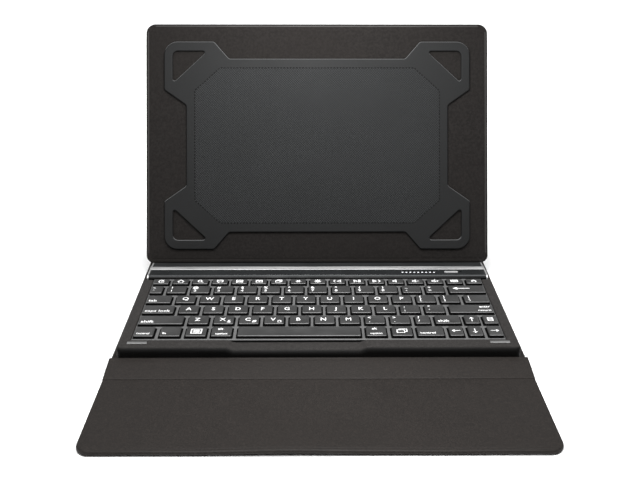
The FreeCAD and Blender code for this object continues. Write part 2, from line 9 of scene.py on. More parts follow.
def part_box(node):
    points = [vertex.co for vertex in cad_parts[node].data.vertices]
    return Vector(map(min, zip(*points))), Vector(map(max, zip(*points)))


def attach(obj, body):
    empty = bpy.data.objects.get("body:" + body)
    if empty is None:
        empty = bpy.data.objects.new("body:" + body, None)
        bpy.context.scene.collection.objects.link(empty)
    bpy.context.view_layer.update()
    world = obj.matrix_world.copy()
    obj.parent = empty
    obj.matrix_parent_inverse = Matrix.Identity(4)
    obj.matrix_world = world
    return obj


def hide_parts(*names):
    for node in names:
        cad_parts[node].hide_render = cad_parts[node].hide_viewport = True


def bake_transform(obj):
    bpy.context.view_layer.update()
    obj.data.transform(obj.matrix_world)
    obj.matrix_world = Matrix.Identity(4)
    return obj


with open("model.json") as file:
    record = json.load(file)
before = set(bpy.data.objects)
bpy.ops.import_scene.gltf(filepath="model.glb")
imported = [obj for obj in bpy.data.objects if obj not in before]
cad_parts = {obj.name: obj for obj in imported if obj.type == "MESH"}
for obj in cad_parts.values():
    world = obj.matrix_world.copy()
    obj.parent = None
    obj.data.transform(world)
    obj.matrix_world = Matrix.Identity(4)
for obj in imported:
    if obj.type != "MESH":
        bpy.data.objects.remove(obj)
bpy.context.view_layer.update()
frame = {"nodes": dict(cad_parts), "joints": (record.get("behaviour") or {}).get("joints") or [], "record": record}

# Everything below is drawn in millimetres in the CAD model's own frame, and scaled to metres as it becomes
# a mesh.
MM = 0.001
nodes = frame["nodes"]
joints = {joint["name"]: joint for joint in frame["joints"]}


def node_box(name):
    """Lowest and highest corner of a CAD node, in millimetres."""
    low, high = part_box(name)
    return [v / MM for v in low], [v / MM for v in high]


def joint_point(name):
    """(Y, Z) of a hinge line, in millimetres."""
    return joints[name]["pos_m"][1] / MM, joints[name]["pos_m"][2] / MM


# ---- The open panel's plane --------------------------------------------------------------------------------
PANEL_ANGLE = math.radians(69.2)
PANEL_FOOT = (53.2, 13.3)
PANEL_HEIGHT = 191.0
PANEL_THICKNESS = 2.2
BACK_THICKNESS = 2.3
FOLD_HEIGHT = 138.5
LEG_OPENING = math.radians(27.604)
LEG_INNER = -2.5
LEG_OUTER = -4.5
LEG_OVERHANG = 3.5
MAT_CENTRE = 93.65


def on_panel(point):
    """Carry (across, up the panel, out of its face) to the open panel."""
    x, up, out = point
    return (x, PANEL_FOOT[0] + up * math.cos(PANEL_ANGLE) - out * math.sin(PANEL_ANGLE),
            PANEL_FOOT[1] + up * math.sin(PANEL_ANGLE) + out * math.cos(PANEL_ANGLE))


def on_mat(point):
    return on_panel((point[0], point[1] + MAT_CENTRE, point[2]))


def smooth(a, b, value):
    t = min(1.0, max(0.0, (value - a) / (b - a)))
    return t * t * (3 - 2 * t)


def bump(value, centre, width):
    """A smooth hill of height 1."""
    return math.exp(-((value - centre) / width) ** 2)


def inside(x, low, high):
    """Distance in from the nearer of two edges."""
    return min(x - low, high - x)


def panel_parts(y, z):
    """How far a direction (Y, Z) reaches up the open panel, and how far out of its face."""
    c = math.cos(PANEL_ANGLE)
    s = math.sin(PANEL_ANGLE)
    return y * c + z * s, z * c - y * s


# ---- Materials ---------------------------------------------------------------------------------------------
class Tree:
    """A shader node tree under construction."""

    def __init__(self, tree):
        self.tree = tree

    def add(self, kind, **settings):
        node = self.tree.nodes.new(kind)
        for key, value in settings.items():
            setattr(node, key, value)
        return node

    def link(self, a, b):
        self.tree.links.new(a, b)

    def math(self, operation, *values):
        node = self.add("ShaderNodeMath", operation=operation)
        for socket, value in zip(node.inputs, values):
            if isinstance(value, float):
                socket.default_value = value
            else:
                self.link(value, socket)
        return node.outputs[0]

    def spread(self, value, low, high, to_low, to_high):
        """Map low to high smoothly onto to_low to to_high."""
        node = self.add("ShaderNodeMapRange", interpolation_type="SMOOTHSTEP")
        self.link(value, node.inputs["Value"])
        for key, number in zip(("From Min", "From Max", "To Min", "To Max"), (low, high, to_low, to_high)):
            node.inputs[key].default_value = number
        return node.outputs["Result"]

    def split(self, vector):
        """The X, Y and Z outputs of a vector."""
        node = self.add("ShaderNodeSeparateXYZ")
        self.link(vector, node.inputs[0])
        return node.outputs


class Nodes(Tree):
    """One node material under construction."""

    def __init__(self, name):
        self.material = bpy.data.materials.new(name)
        self.material.use_nodes = True
        super().__init__(self.material.node_tree)
        self.shader = self.tree.nodes["Principled BSDF"]
        self.place = self.add("ShaderNodeTexCoord").outputs["Object"]

    def normal(self):
        """The X, Y and Z of the surface's direction."""
        return self.split(self.add("ShaderNodeTexCoord").outputs["Normal"])

    def mapped(self, setting, value):
        """The object's place, scaled or turned."""
        node = self.add("ShaderNodeMapping")
        node.inputs[setting].default_value = value
        self.link(self.place, node.inputs["Vector"])
        return node.outputs["Vector"]

    def noise(self, scale, detail=3.0, rough=0.55, stretch=None):
        """Noise with features about 1/scale metres wide."""
        node = self.add("ShaderNodeTexNoise")
        for key, value in (("Scale", scale), ("Detail", detail), ("Roughness", rough)):
            node.inputs[key].default_value = value
        self.link(self.mapped("Scale", stretch) if stretch else self.place, node.inputs["Vector"])
        return node.outputs["Fac"]

    def cells(self, scale):
        """Soft round cells about 1/scale metres wide."""
        node = self.add("ShaderNodeTexVoronoi", feature="SMOOTH_F1")
        node.inputs["Scale"].default_value = scale
        self.link(self.place, node.inputs["Vector"])
        return node.outputs["Distance"]

    def mix(self, factor, a, b):
        node = self.add("ShaderNodeMix", data_type="RGBA")
        self.link(factor, node.inputs["Factor"])
        for key, value in (("A", a), ("B", b)):
            socket = next(s for s in node.inputs if s.name == key and s.type == "RGBA")
            if isinstance(value, tuple):
                socket.default_value = (*value, 1.0)
            else:
                self.link(value, socket)
        return next(s for s in node.outputs if s.type == "RGBA")

    def fade(self, value, low, high, a, b, share=1.0):
        """Colour a where value is below low, turning towards b by high, at most by share."""
        return self.mix(self.spread(value, low, high, 0.0, share), a, b)

    def colour(self, socket):
        self.link(socket, self.shader.inputs["Base Color"])

    def roughness(self, socket):
        self.link(socket, self.shader.inputs["Roughness"])

    def relief(self, heights):
        """Stack bumps: [(height, strength, distance in mm), ...]."""
        normal = None
        for height, strength, distance in heights:
            node = self.add("ShaderNodeBump")
            node.inputs["Strength"].default_value = strength
            node.inputs["Distance"].default_value = distance * MM
            self.link(height, node.inputs["Height"])
            if normal is not None:
                self.link(normal, node.inputs["Normal"])
            normal = node.outputs["Normal"]
        self.link(normal, self.shader.inputs["Normal"])

    def fixed(self, **values):
        for key, value in values.items():
            self.shader.inputs[key.replace("_", " ")].default_value = value


def grey(value, warm=0.0):
    """A grey, linear, with its red raised by a share and its blue lowered by about half of it."""
    return (value * (1 + warm), value, value * (1 - 0.55 * warm))


def make_leather(name, base, warm, grain=1700.0, gloss=0.18, front=None):
    """Thin matte imitation leather: pebbles, pores, rubbed patches, and painted shade that turns faces looking to
    the front towards the grey given as front.
    """
    n = Nodes(name)
    pebble = n.cells(grain)
    patches = n.noise(28.0, 4.0)
    speck = n.noise(2600.0, 2.0)
    tone = n.fade(patches, 0.32, 0.68, grey(base * 0.86, warm), grey(base * 1.14, warm))
    tone = n.fade(n.noise(520.0, 2.0), 0.35, 0.65, tone, grey(base * 1.55, warm))
    worn = n.fade(pebble, 0.1, 0.65, tone, grey(base * 0.55, warm))
    colour = n.fade(speck, 0.35, 0.7, worn, grey(base * 1.5, warm), 0.35)
    # Painted shade: faces that look to the front are darkened towards a near-black grey.
    if front:
        colour = n.fade(n.math("MULTIPLY", n.normal()[1], -1.0), 0.1, 0.8, colour, grey(front, warm))
    n.colour(colour)
    n.roughness(n.spread(n.math("ADD", patches, n.math("MULTIPLY", speck, 0.5)), 0.45, 1.1, 0.54, 0.72))
    n.relief([(pebble, 0.35, 0.12), (speck, 0.25, 0.05), (patches, 0.12, 0.5)])
    n.fixed(Specular_IOR_Level=gloss)
    return n.material


def make_lining(name, base, warm):
    """Brushed microfibre: short nap in soft patches, with a velvet sheen."""
    n = Nodes(name)
    n = Nodes(name)
    nap = n.noise(3200.0, 3.0, 0.7)
    strands = n.noise(900.0, 3.0, 0.6, stretch=(2.4, 0.7, 0.7))
    patches = n.noise(16.0, 5.0)
    tone = n.fade(patches, 0.3, 0.7, grey(base * 0.84, warm), grey(base * 1.16, warm))
    tone = n.fade(n.noise(560.0, 2.0), 0.35, 0.65, tone, grey(base * 1.5, warm))
    fibre = n.fade(nap, 0.35, 0.65, tone, grey(base * 0.5, warm), 0.6)
    n.colour(n.fade(strands, 0.5, 0.72, fibre, grey(base * 1.7, warm), 0.5))
    n.roughness(n.spread(patches, 0.3, 0.7, 0.82, 0.95))
    n.relief([(nap, 0.4, 0.1), (strands, 0.3, 0.12)])
    n.fixed(Sheen_Weight=0.05, Sheen_Roughness=0.4, Specular_IOR_Level=0.07)
    return n.material


PIP_PITCH = 1.9


def make_rubber(name, base, hatch):
    """Moulded rubber, either plain with a spark-eroded grain or covered with rows of fine diagonal pips, whose
    crests are painted lighter and hollows darker as highlight and shade.
    """
    n = Nodes(name)
    grain = n.noise(2400.0, 2.0)
    patches = n.noise(22.0, 4.0)
    tone = n.fade(patches, 0.3, 0.7, grey(base * 0.9, -0.03), grey(base * 1.12, -0.03))
    if hatch:
        flat = n.split(n.mapped("Rotation", (-PANEL_ANGLE, 0.0, 0.0)))
        rows = []
        for sign in (1.0, -1.0):
            along = n.math("ADD", flat[0], n.math("MULTIPLY", flat[1], sign))
            rows.append(n.math("SINE", n.math("MULTIPLY", along, 2 * math.pi / (PIP_PITCH * MM))))
        pips = n.spread(n.math("ADD", rows[0], rows[1]), -1.1, 1.1, 0.0, 1.0)
        # Painted highlight and shade: the pips' crests are lighter and the hollows between them darker.
        colour = n.mix(pips, grey(base * 0.55, -0.05), grey(base * 1.45, -0.05))
        colour = n.fade(patches, 0.3, 0.7, colour, tone, 0.3)
        n.relief([(pips, 0.9, 0.25), (grain, 0.2, 0.04)])
    else:
        colour = n.fade(grain, 0.35, 0.7, tone, grey(base * 0.7, -0.03), 0.4)
        n.relief([(grain, 0.3, 0.05)])
    n.colour(colour)
    n.roughness(n.spread(patches, 0.3, 0.7, 0.6, 0.72))
    n.fixed(Specular_IOR_Level=0.13, Sheen_Weight=0.02)
    return n.material


def make_moulded(name, base, rough, warm=0.0, grain=2200.0, depth=0.03, wear=1.3, metallic=0.0, coat=0.0,
                 gloss=0.5, painted_shade_walls=None, edge=None, painted_highlight_above=0.0):
    """Moulded plastic or metal foil: fine grain, uneven gloss and slightly rubbed high spots.

    Upright faces can take a near-black grey as painted shade, and faces that lean to the front the edge grey as a
    painted highlight, above a height given in mm, with the painted shade grey below it.
    """
    n = Nodes(name)
    fine = n.noise(grain, 2.0)
    broad = n.noise(60.0, 4.0)
    tone = n.fade(broad, 0.3, 0.7, grey(base * 0.92, warm), grey(base * 1.08, warm))
    colour = n.fade(fine, 0.52, 0.75, tone, grey(min(1.0, base * wear), warm), 0.5)
    facing = n.normal() if painted_shade_walls or edge else None
    # Painted shade: upright faces turn towards a near-black grey.
    if painted_shade_walls:
        colour = n.mix(n.spread(facing[2], 0.2, 0.6, 1.0, 0.0), colour, grey(painted_shade_walls, warm))
    # Painted highlight on faces that lean to the front and up, above a height; below it they take the painted
    # shade grey.
    if edge:
        front = n.spread(n.math("MULTIPLY", facing[1], -1.0), 0.25, 0.6, 0.0, 1.0)
        upper = n.spread(facing[2], 0.3, 0.6, 0.0, 1.0)
        painted_bevel_grey = n.fade(n.split(n.place)[2], (painted_highlight_above - 0.15) * MM, (painted_highlight_above + 0.15) * MM,
                      grey(painted_shade_walls or edge, warm), grey(edge, warm))
        colour = n.mix(n.math("MULTIPLY", front, upper), colour, painted_bevel_grey)
    n.colour(colour)
    n.roughness(n.spread(broad, 0.3, 0.7, rough * 0.85, rough * 1.15))
    n.relief([(fine, 0.25, depth)])
    n.fixed(Metallic=metallic, Coat_Weight=coat, Coat_Roughness=0.08, Specular_IOR_Level=gloss)
    return n.material


def make_brushed(name, base, rough, lengthways=True):
    """Brushed metal with fine scratches along X, or across it."""
    n = Nodes(name)
    lines = n.noise(900.0, 4.0, 0.7, stretch=(0.03, 1.0, 1.0) if lengthways else (1.0, 0.05, 0.05))
    tone = n.fade(lines, 0.3, 0.7, grey(base * 0.88), grey(min(1.0, base * 1.06)))
    n.colour(n.fade(n.noise(35.0, 3.0), 0.4, 0.7, tone, grey(base * 0.8), 0.3))
    n.roughness(n.spread(lines, 0.3, 0.7, rough * 0.8, rough * 1.25))
    n.relief([(lines, 0.15, 0.02)])
    n.fixed(Metallic=1.0)
    return n.material


def make_lens(name):
    """Milky light window, slightly clouded."""
    n = Nodes(name)
    cloud = n.noise(900.0, 2.0)
    n.colour(n.fade(cloud, 0.3, 0.7, (0.55, 0.56, 0.57), (0.8, 0.81, 0.82)))
    n.roughness(n.spread(cloud, 0.3, 0.7, 0.2, 0.35))
    n.relief([(cloud, 0.2, 0.02)])
    return n.material


def make_board(name, base, chips=None):
    """Layered card or laminate: fibres on the face, in the colour of chips where it is a circuit board."""
    n = Nodes(name)
    fibre = n.noise(1400.0, 4.0, 0.7)
    tone = n.fade(n.noise(50.0, 3.0), 0.3, 0.7, tuple(v * 0.85 for v in base), tuple(v * 1.1 for v in base))
    n.colour(n.fade(fibre, 0.5, 0.62, tone, chips or tuple(v * 1.3 for v in base), 0.7))
    n.roughness(n.spread(fibre, 0.3, 0.7, 0.6, 0.85))
    n.relief([(fibre, 0.3, 0.05)])
    return n.material


looks = {
    "outer_cover": make_leather("outer_cover_look", 0.0095, 0.24),
    "lining": make_lining("lining_look", 0.0085, 0.12),
    # The tray's front-facing faces are painted near-black as shade.
    "tray_fabric": make_leather("tray_fabric_look", 0.022, 0.07, grain=2000.0, gloss=0.07, front=0.002),
    "stiffener": make_board("stiffener_look", (0.23, 0.22, 0.2)),
    "mat_rubber": make_rubber("mat_rubber_look", 0.0085, False),
    "case_plastic": make_moulded("case_plastic_look", 0.01, 0.5, gloss=0.1),
    # Deck: upright faces painted near-black as shade.
    "deck_plastic": make_moulded("deck_plastic_look", 0.08, 0.42, grain=2600.0, painted_shade_walls=0.004, gloss=0.25),
    # Keys: shoulder faces that lean to the front get a painted highlight.
    "key_plastic": make_moulded("key_plastic_look", 0.026, 0.4, grain=2600.0, edge=0.14),
    "gloss_black": make_moulded("gloss_black_look", 0.012, 0.2, warm=-0.08, grain=400.0, depth=0.008,
                                coat=0.1, gloss=0.35),
    "light_lens": make_lens("light_lens_look"),
    "switch_plastic": make_moulded("switch_plastic_look", 0.24, 0.4),
    "bright_metal": make_brushed("bright_metal_look", 0.5, 0.55),
    "contact_metal": make_brushed("contact_metal_look", 0.4, 0.35),
    "magnet": make_brushed("magnet_look", 0.5, 0.4),
    "socket_metal": make_brushed("socket_metal_look", 0.55, 0.35, lengthways=False),
    "membrane_rubber": make_moulded("membrane_rubber_look", 0.004, 0.8, gloss=0.1),
    "board_laminate": make_board("board_laminate_look", (0.02, 0.12, 0.05), (0.05, 0.2, 0.08)),
    "battery_foil": make_moulded("battery_foil_look", 0.6, 0.35, metallic=1.0, grain=500.0),
}
hatch_look = make_rubber("mat_hatch_look", 0.0115, True)
# Hem leather lighter than the outer cover: the hem's own cover with a painted highlight.
hem_highlight_look = make_leather("hem_highlight_look", 0.014, 0.12, gloss=0.3)
# Bar housing: a painted highlight on the upper front bevel, with painted shade below it and on upright faces.
bar_look = make_moulded("bar_housing_look", 0.012, 0.5, warm=-0.05, gloss=0.12, painted_shade_walls=0.0015, edge=0.06,
                        painted_highlight_above=14.4)
# Lit and shaded copies of the mat rubber: a painted highlight on edges that face up the panel, painted shade on
# those that face down it.
mat_lit_look = make_moulded("mat_upper_edge_highlight_look", 0.05, 0.6, warm=-0.03)
mat_shaded_edge_look = make_moulded("mat_lower_edge_shade_look", 0.004, 0.7, warm=-0.03, gloss=0.1)
# Stitch bars: thread colour, and near-black as painted shade standing for the stitch holes.
thread_and_hole_shade_look = make_moulded("stitch_thread_and_hole_shade_look", 0.003, 0.8, grain=5200.0, depth=0.06, gloss=0.1)
# Key skirts painted near-black as shade.
skirt_shade_look = make_moulded("key_skirt_painted_shade_look", 0.003, 0.6, grain=2600.0, gloss=0.06)
legend_look = make_moulded("legend_ink_look", 0.72, 0.6, grain=6000.0, depth=0.01, wear=1.1)

for row in frame["record"]["subparts"]:
    node = nodes[row["node"]]
    if not node.data.materials:
        node.data.materials.append(None)
    for socket in node.material_slots:
        socket.material = bar_look if row["node"] == "bar_housing" else looks[row["material_slot"]]


# ---- Mesh helpers ------------------------------------------------------------------------------------------
def place_object(name, data):
    """A new object in the scene."""
    thing = bpy.data.objects.new(name, data)
    bpy.context.scene.collection.objects.link(thing)
    return thing


def add_mesh(name, vertices, faces, slot, angle=35.0, extra=(), index=None):
    """A mesh object from points in mm. index(face centre in mm, normal) picks slot's look or an extra."""
    mesh = bpy.data.meshes.new(name)
    mesh.from_pydata([(x * MM, y * MM, z * MM) for x, y, z in vertices], [], faces)
    work = bmesh.new()
    work.from_mesh(mesh)
    bmesh.ops.recalc_face_normals(work, faces=work.faces)
    for face in work.faces:
        face.smooth = True
        if index:
            face.material_index = index(face.calc_center_median() / MM, face.normal)
    sharp = math.radians(angle)
    for edge in work.edges:
        edge.smooth = len(edge.link_faces) != 2 or edge.calc_face_angle(0.0) < sharp
    work.to_mesh(mesh)
    work.free()
    thing = place_object(name, mesh)
    mesh.materials.append(looks[slot])
    for look in extra:
        mesh.materials.append(look)
    return thing


def stations(low, high, fine, step, more=()):
    """Grid lines from low to high: close together near both ends, and wherever more asks for them."""
    lines = {round(low + d, 4) for d in fine} | {round(high - d, 4) for d in fine}
    inner_low = low + fine[-1]
    inner_high = high - fine[-1]
    count = max(1, round((inner_high - inner_low) / step))
    lines |= {round(inner_low + (inner_high - inner_low) * i / count, 4) for i in range(count + 1)}
    lines |= {round(v, 4) for v in more if low < v < high}
    ordered = sorted(lines)
    kept = [ordered[0]]
    for value in ordered[1:]:
        if value - kept[-1] > 0.06:
            kept.append(value)
    kept[-1] = ordered[-1]
    return kept


def join(parts):
    """Several (vertices, faces) as one."""
    vertices = []
    faces = []
    for more, which in parts:
        start = len(vertices)
        vertices += more
        faces += [tuple(start + i for i in face) for face in which]
    return vertices, faces


def loft(rings):
    """(vertices, faces) of rings of equal length joined in turn, closed at both ends."""
    size = len(rings[0])
    last = (len(rings) - 1) * size
    faces = [tuple(reversed(range(size)))]
    for k in range(0, last, size):
        faces += [(k + i, k + (i + 1) % size, k + size + (i + 1) % size, k + size + i) for i in range(size)]
    faces.append(tuple(range(last, last + size)))
    return [point for ring in rings for point in ring], faces


def edge_drop(inset, radius):
    """How far a rounded edge has fallen at a distance in from the outline."""
    if inset >= radius:
        return 0.0
    return radius - math.sqrt(max(0.0, radius * radius - (radius - inset) ** 2))


def rounded(x, y, x0, x1, y0, y1, low_radius, high_radius):
    """Move a grid point so that the grid's corners become round."""
    radius = low_radius if y < (y0 + y1) / 2 else high_radius
    if radius <= 0:
        return x, y
    cx = min(max(x, x0 + radius), x1 - radius)
    cy = min(max(y, y0 + radius), y1 - radius)
    a = abs(x - cx) / radius
    b = abs(y - cy) / radius
    if a < 1e-9 or b < 1e-9:
        return x, y
    reach = max(a, b)
    turn = math.pi / 4 * (b / a) if a >= b else math.pi / 2 - math.pi / 4 * (a / b)
    return (cx + math.copysign(reach * radius * math.cos(turn), x - cx),
            cy + math.copysign(reach * radius * math.sin(turn), y - cy))


def sheet_mesh(xs, ys, radii, top, bottom):
    """A thin closed sheet on a grid. top and bottom give heights at (x, y, distance in from the outline)."""
    vertices = []
    count_x = len(xs)
    count_y = len(ys)
    for surface in (top, bottom):
        for y in ys:
            for x in xs:
                inset = min(x - xs[0], xs[-1] - x, y - ys[0], ys[-1] - y)
                px, py = rounded(x, y, xs[0], xs[-1], ys[0], ys[-1], radii[0], radii[1])
                vertices.append((px, py, surface(px, py, inset)))
    layer = count_x * count_y
    faces = []
    for j in range(count_y - 1):
        for i in range(count_x - 1):
            a = j * count_x + i
            faces.append((a, a + 1, a + 1 + count_x, a + count_x))
            faces.append((layer + a, layer + a + count_x, layer + a + 1 + count_x, layer + a + 1))
    rim = list(range(count_x))
    rim += [j * count_x + count_x - 1 for j in range(1, count_y)]
    rim += [(count_y - 1) * count_x + i for i in range(count_x - 2, -1, -1)]
    rim += [j * count_x for j in range(count_y - 2, 0, -1)]
    for k, a in enumerate(rim):
        b = rim[(k + 1) % len(rim)]
        faces.append((a, layer + a, layer + b, b))
    return vertices, faces


EDGE = (0.0, 0.1, 0.28, 0.55, 0.9, 1.3, 1.8, 2.2, 2.5, 2.8, 3.2, 4.0, 6.0)


def turned_edge(inset, at=2.6, depth=0.14, width=0.28):
    """The faint step where a turned-over edge ends."""
    return depth * bump(inset, at, width) + (0.05 * (1 - smooth(at, at + 1.0, inset)))


# ---- Base --------------------------------------------------------------------------------------------------
(base_x0, base_y0, base_z0), (base_x1, base_y1, base_z1) = node_box("base_outer_cover")


def base_top(x, y, inset):
    return base_z1 - 0.02 - edge_drop(inset, 1.3) - turned_edge(inset) + 0.05 * bump(inset, 1.5, 0.6)


def base_bottom(x, y, inset):
    return base_z0 + edge_drop(inset, 1.3)


points, faces = sheet_mesh(stations(base_x0, base_x1, EDGE, 9.0), stations(base_y0, base_y1, EDGE, 9.0),
                           (1.2, 1.2), base_top, base_bottom)
base_shell = add_mesh("base_shell", points, faces, "outer_cover")
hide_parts("base_outer_cover", "base_board", "base_lining")
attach(base_shell, "base")


# ---- Keyboard tray: fabric wrapped over a moulded rim -----------------------------------------------------
(tray_x0, tray_y0, tray_z0), (tray_x1, tray_y1, tray_z1) = node_box("keyboard_tray")
TRAY_INNER_X = 126.0
TRAY_INNER_Y = -82.4
TRAY_RIM_BACK = 21.2
TRAY_FLOOR = 4.2
SCOOP_LEFT = -61.8
SCOOP_RIGHT = 32.8
SCOOP_DEPTH = 1.8
SCOOP_SLOPE = 6.0
RAIL_FRONT = 52.9
RAIL_BACK = 59.5
RAIL_TOP = 13.5
RAIL_GAP = 0.48


def corner_path(x, y, radius, count):
    """From down the left side, round the front left corner, to the middle of the front."""
    cx = x + radius
    cy = y + radius
    return [(cx - radius * math.cos(math.pi / 2 * i / count), cy - radius * math.sin(math.pi / 2 * i / count))
            for i in range(count + 1)]


def tray_rim():
    """The U-shaped rim, lofted from the left side's back end round the front to the right side's."""
    turns = 8
    inner = corner_path(-TRAY_INNER_X, TRAY_INNER_Y, 1.2, turns)
    outer = corner_path(tray_x0, tray_y0, 3.2, turns)
    side = [0.0, 0.3, 0.8, 1.6, 3.0] + [6.0 + 7.0 * i for i in range(14)]
    path = []
    for d in side:
        y = TRAY_RIM_BACK - d
        if y > inner[0][1] + 2.0:
            path.append(((-TRAY_INNER_X, y), (tray_x0, y), 1.6))
    path += [(inner[i], outer[i], 1.6 + 1.9 * i / turns) for i in range(turns + 1)]
    front = [-122.0 + 4.0 * i for i in range(16)]
    front += [SCOOP_LEFT - 4.0 + 1.0 * i for i in range(16)]
    front += [SCOOP_LEFT + 14.0 + 4.0 * i for i in range(17)]
    front += [SCOOP_RIGHT - 11.0 + 1.0 * i for i in range(16)]
    front += [SCOOP_RIGHT + 8.0 + 4.0 * i for i in range(20)]
    front = sorted({round(x, 3) for x in front if -122.1 < x < 122.1})
    path += [((x, TRAY_INNER_Y), (x, tray_y0), 3.5) for x in front]
    for (ix, iy), (ox, oy), radius in reversed(path[:len(path) - len(front)]):
        path.append(((-ix, iy), (-ox, oy), radius))
    rings = []
    last = len(path) - 1
    for k, ((ix, iy), (ox, oy), radius) in enumerate(path):
        width = math.hypot(ox - ix, oy - iy)
        dip = SCOOP_DEPTH * smooth(SCOOP_LEFT, SCOOP_LEFT + SCOOP_SLOPE, ox)
        dip *= 1 - smooth(SCOOP_RIGHT - SCOOP_SLOPE, SCOOP_RIGHT, ox)
        if iy > TRAY_INNER_Y + 1e-6 and abs(ox) > 100:
            dip = 0.0
        top = tray_z1 - 0.02 - dip
        sag = 1.2 * (1 - smooth(0, 4, min(k, last - k)))
        profile = [(0.0, tray_z0), (0.0, tray_z0 + 2.4), (0.0, top - radius - sag)]
        for a in (15, 30, 45, 60, 75, 90):
            turn = math.radians(a)
            profile.append((radius * (1 - math.cos(turn)), top - sag - radius * (1 - math.sin(turn))))
        flat = width - 0.9
        for f in (0.3, 0.6, 0.85):
            profile.append((radius + (flat - radius) * f, top - sag + 0.06 * math.sin(math.pi * f)))
        profile += [(flat, top - sag), (width - 0.4, top - sag - 0.12), (width - 0.1, top - sag - 0.4),
                    (width, top - sag - 0.9), (width, tray_z0)]
        rings.append([(ox + (ix - ox) * d / width, oy + (iy - oy) * d / width, z) for d, z in profile])
    return loft(rings)


def tray_floor():
    return sheet_mesh(stations(-TRAY_INNER_X, TRAY_INNER_X, (0.0, 1.0), 20.0),
                      stations(TRAY_INNER_Y, RAIL_FRONT, (0.0, 1.0), 20.0), (0, 0),
                      lambda x, y, inset: TRAY_FLOOR, lambda x, y, inset: tray_z0)


def tray_rail():
    """The fabric-covered rail behind the bar, hollowed along the path of the panel's foot."""
    pole = joint_point("panel_fold")
    reach = math.hypot(PANEL_FOOT[0] - pole[0], PANEL_FOOT[1] - pole[1]) + RAIL_GAP
    ys = [RAIL_FRONT + (RAIL_BACK - RAIL_FRONT) * i / 14 for i in range(15)]

    def rail_top(x, y, inset):
        hollow = pole[1] - math.sqrt(max(0.0, reach * reach - (y - pole[0]) ** 2))
        return min(RAIL_TOP, hollow) - edge_drop(inset, 0.3) * 0.6

    return sheet_mesh(stations(tray_x0, tray_x1, (0.0, 0.1, 0.3, 1.0), 12.0), ys, (0, 0),
                      rail_top, lambda x, y, inset: tray_z0)


points, faces = join([tray_rim(), tray_floor(), tray_rail()])
tray_wrap = add_mesh("tray_wrap", points, faces, "tray_fabric")
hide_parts("keyboard_tray")
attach(tray_wrap, "base")


# ---- Front strip and flap ----------------------------------------------------------------------------------
strip_y, strip_z = joint_point("strip_fold")
crease_y, crease_z = joint_point("flap_fold")
(flap_x0, flap_y0, flap_z0), (flap_x1, flap_y1, flap_z1) = node_box("front_flap_cover")
CREASE_SPLIT = crease_y + 0.25


def strip_top(x, y, inset):
    along = (y - strip_y) / (crease_y - strip_y)
    level = strip_z + 0.1 + (crease_z - strip_z - 0.1) * along
    side = inside(x, flap_x0, flap_x1)
    crease = 0.13 * bump(y, crease_y, 0.9)
    fold = 0.16 * bump(y, strip_y - 1.6, 1.1)
    return level - edge_drop(side, 1.2) - crease - fold - turned_edge(side) + 0.16 * math.sin(math.pi * along)


def strip_bottom(x, y, inset):
    side = inside(x, flap_x0, flap_x1)
    along = (y - strip_y) / (crease_y - strip_y)
    return max(0.12, strip_z + (crease_z - strip_z) * along - 2.9) + edge_drop(side, 1.2)


strip_lines = [strip_y + 0.35 - d for d in (0.0, 0.3, 0.7, 1.2, 1.8, 2.4, 3.0, 3.6, 4.4)]
strip_lines += [strip_y - 5.5 - 1.9 * i for i in range(8)]
strip_lines += [crease_y + d for d in (2.6, 1.8, 1.2, 0.8, 0.5, 0.25)]
points, faces = sheet_mesh(stations(flap_x0, flap_x1, EDGE, 9.0), sorted(strip_lines), (0, 0),
                           strip_top, strip_bottom)
front_strip = add_mesh("front_strip_shell", points, faces, "outer_cover")
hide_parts("front_strip_cover", "front_strip_board")
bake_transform(front_strip)


def flap_wave(x, y):
    """The free front edge lifts a little near the middle."""
    near = 1 - smooth(flap_y0, flap_y0 + 40.0, y)
    return near * (0.9 * bump(x, -12.0, 30.0) + 0.25 * math.sin(x / 23.0) ** 2)


def flap_top(x, y, inset):
    back = crease_y - y
    joined = 0.13 * bump(y, crease_y, 0.9)
    free = min(inside(x, flap_x0, flap_x1), y - flap_y0)
    relief = 0.10 * math.sin(x / 41.0 + 1.3) * smooth(2.0, 14.0, back) * smooth(0.0, 20.0, free)
    shape = edge_drop(inset if back > 3 else inside(x, flap_x0, flap_x1), 1.35)
    return flap_z1 - 0.05 - shape - joined - turned_edge(free) + 0.4 * relief + flap_wave(x, y)


def flap_bottom(x, y, inset):
    free = min(inside(x, flap_x0, flap_x1), y - flap_y0)
    return flap_z0 + edge_drop(free, 1.35) + flap_wave(x, y)


flap_lines = stations(flap_y0, CREASE_SPLIT, (0.0,), 6.0,
                      [flap_y0 + d for d in EDGE]
                      + [CREASE_SPLIT - d for d in (0.3, 0.6, 1.0, 1.5, 2.1, 2.8, 3.6, 5.0)]
                      + [flap_y0 + 8.0, flap_y0 + 10.0, flap_y0 + 12.0])


def flap_height(surface):
    def height(x, y, inset):
        return surface(x, y, min(inside(x, flap_x0, flap_x1), y - flap_y0) if y > flap_y0 + 11 else inset)
    return height


points, faces = sheet_mesh(stations(flap_x0, flap_x1, EDGE + (8.0,), 8.0), flap_lines, (10.0, 0),
                           flap_height(flap_top), flap_height(flap_bottom))
front_flap = add_mesh("front_flap_shell", points, faces, "outer_cover")
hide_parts("front_flap_cover", "front_flap_board")
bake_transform(front_flap)


# ---- Spine -------------------------------------------------------------------------------------------------
(spine_x0, spine_y0, spine_z0), (spine_x1, spine_y1, spine_z1) = node_box("spine_cover")
spine_start = base_y1 + 0.1


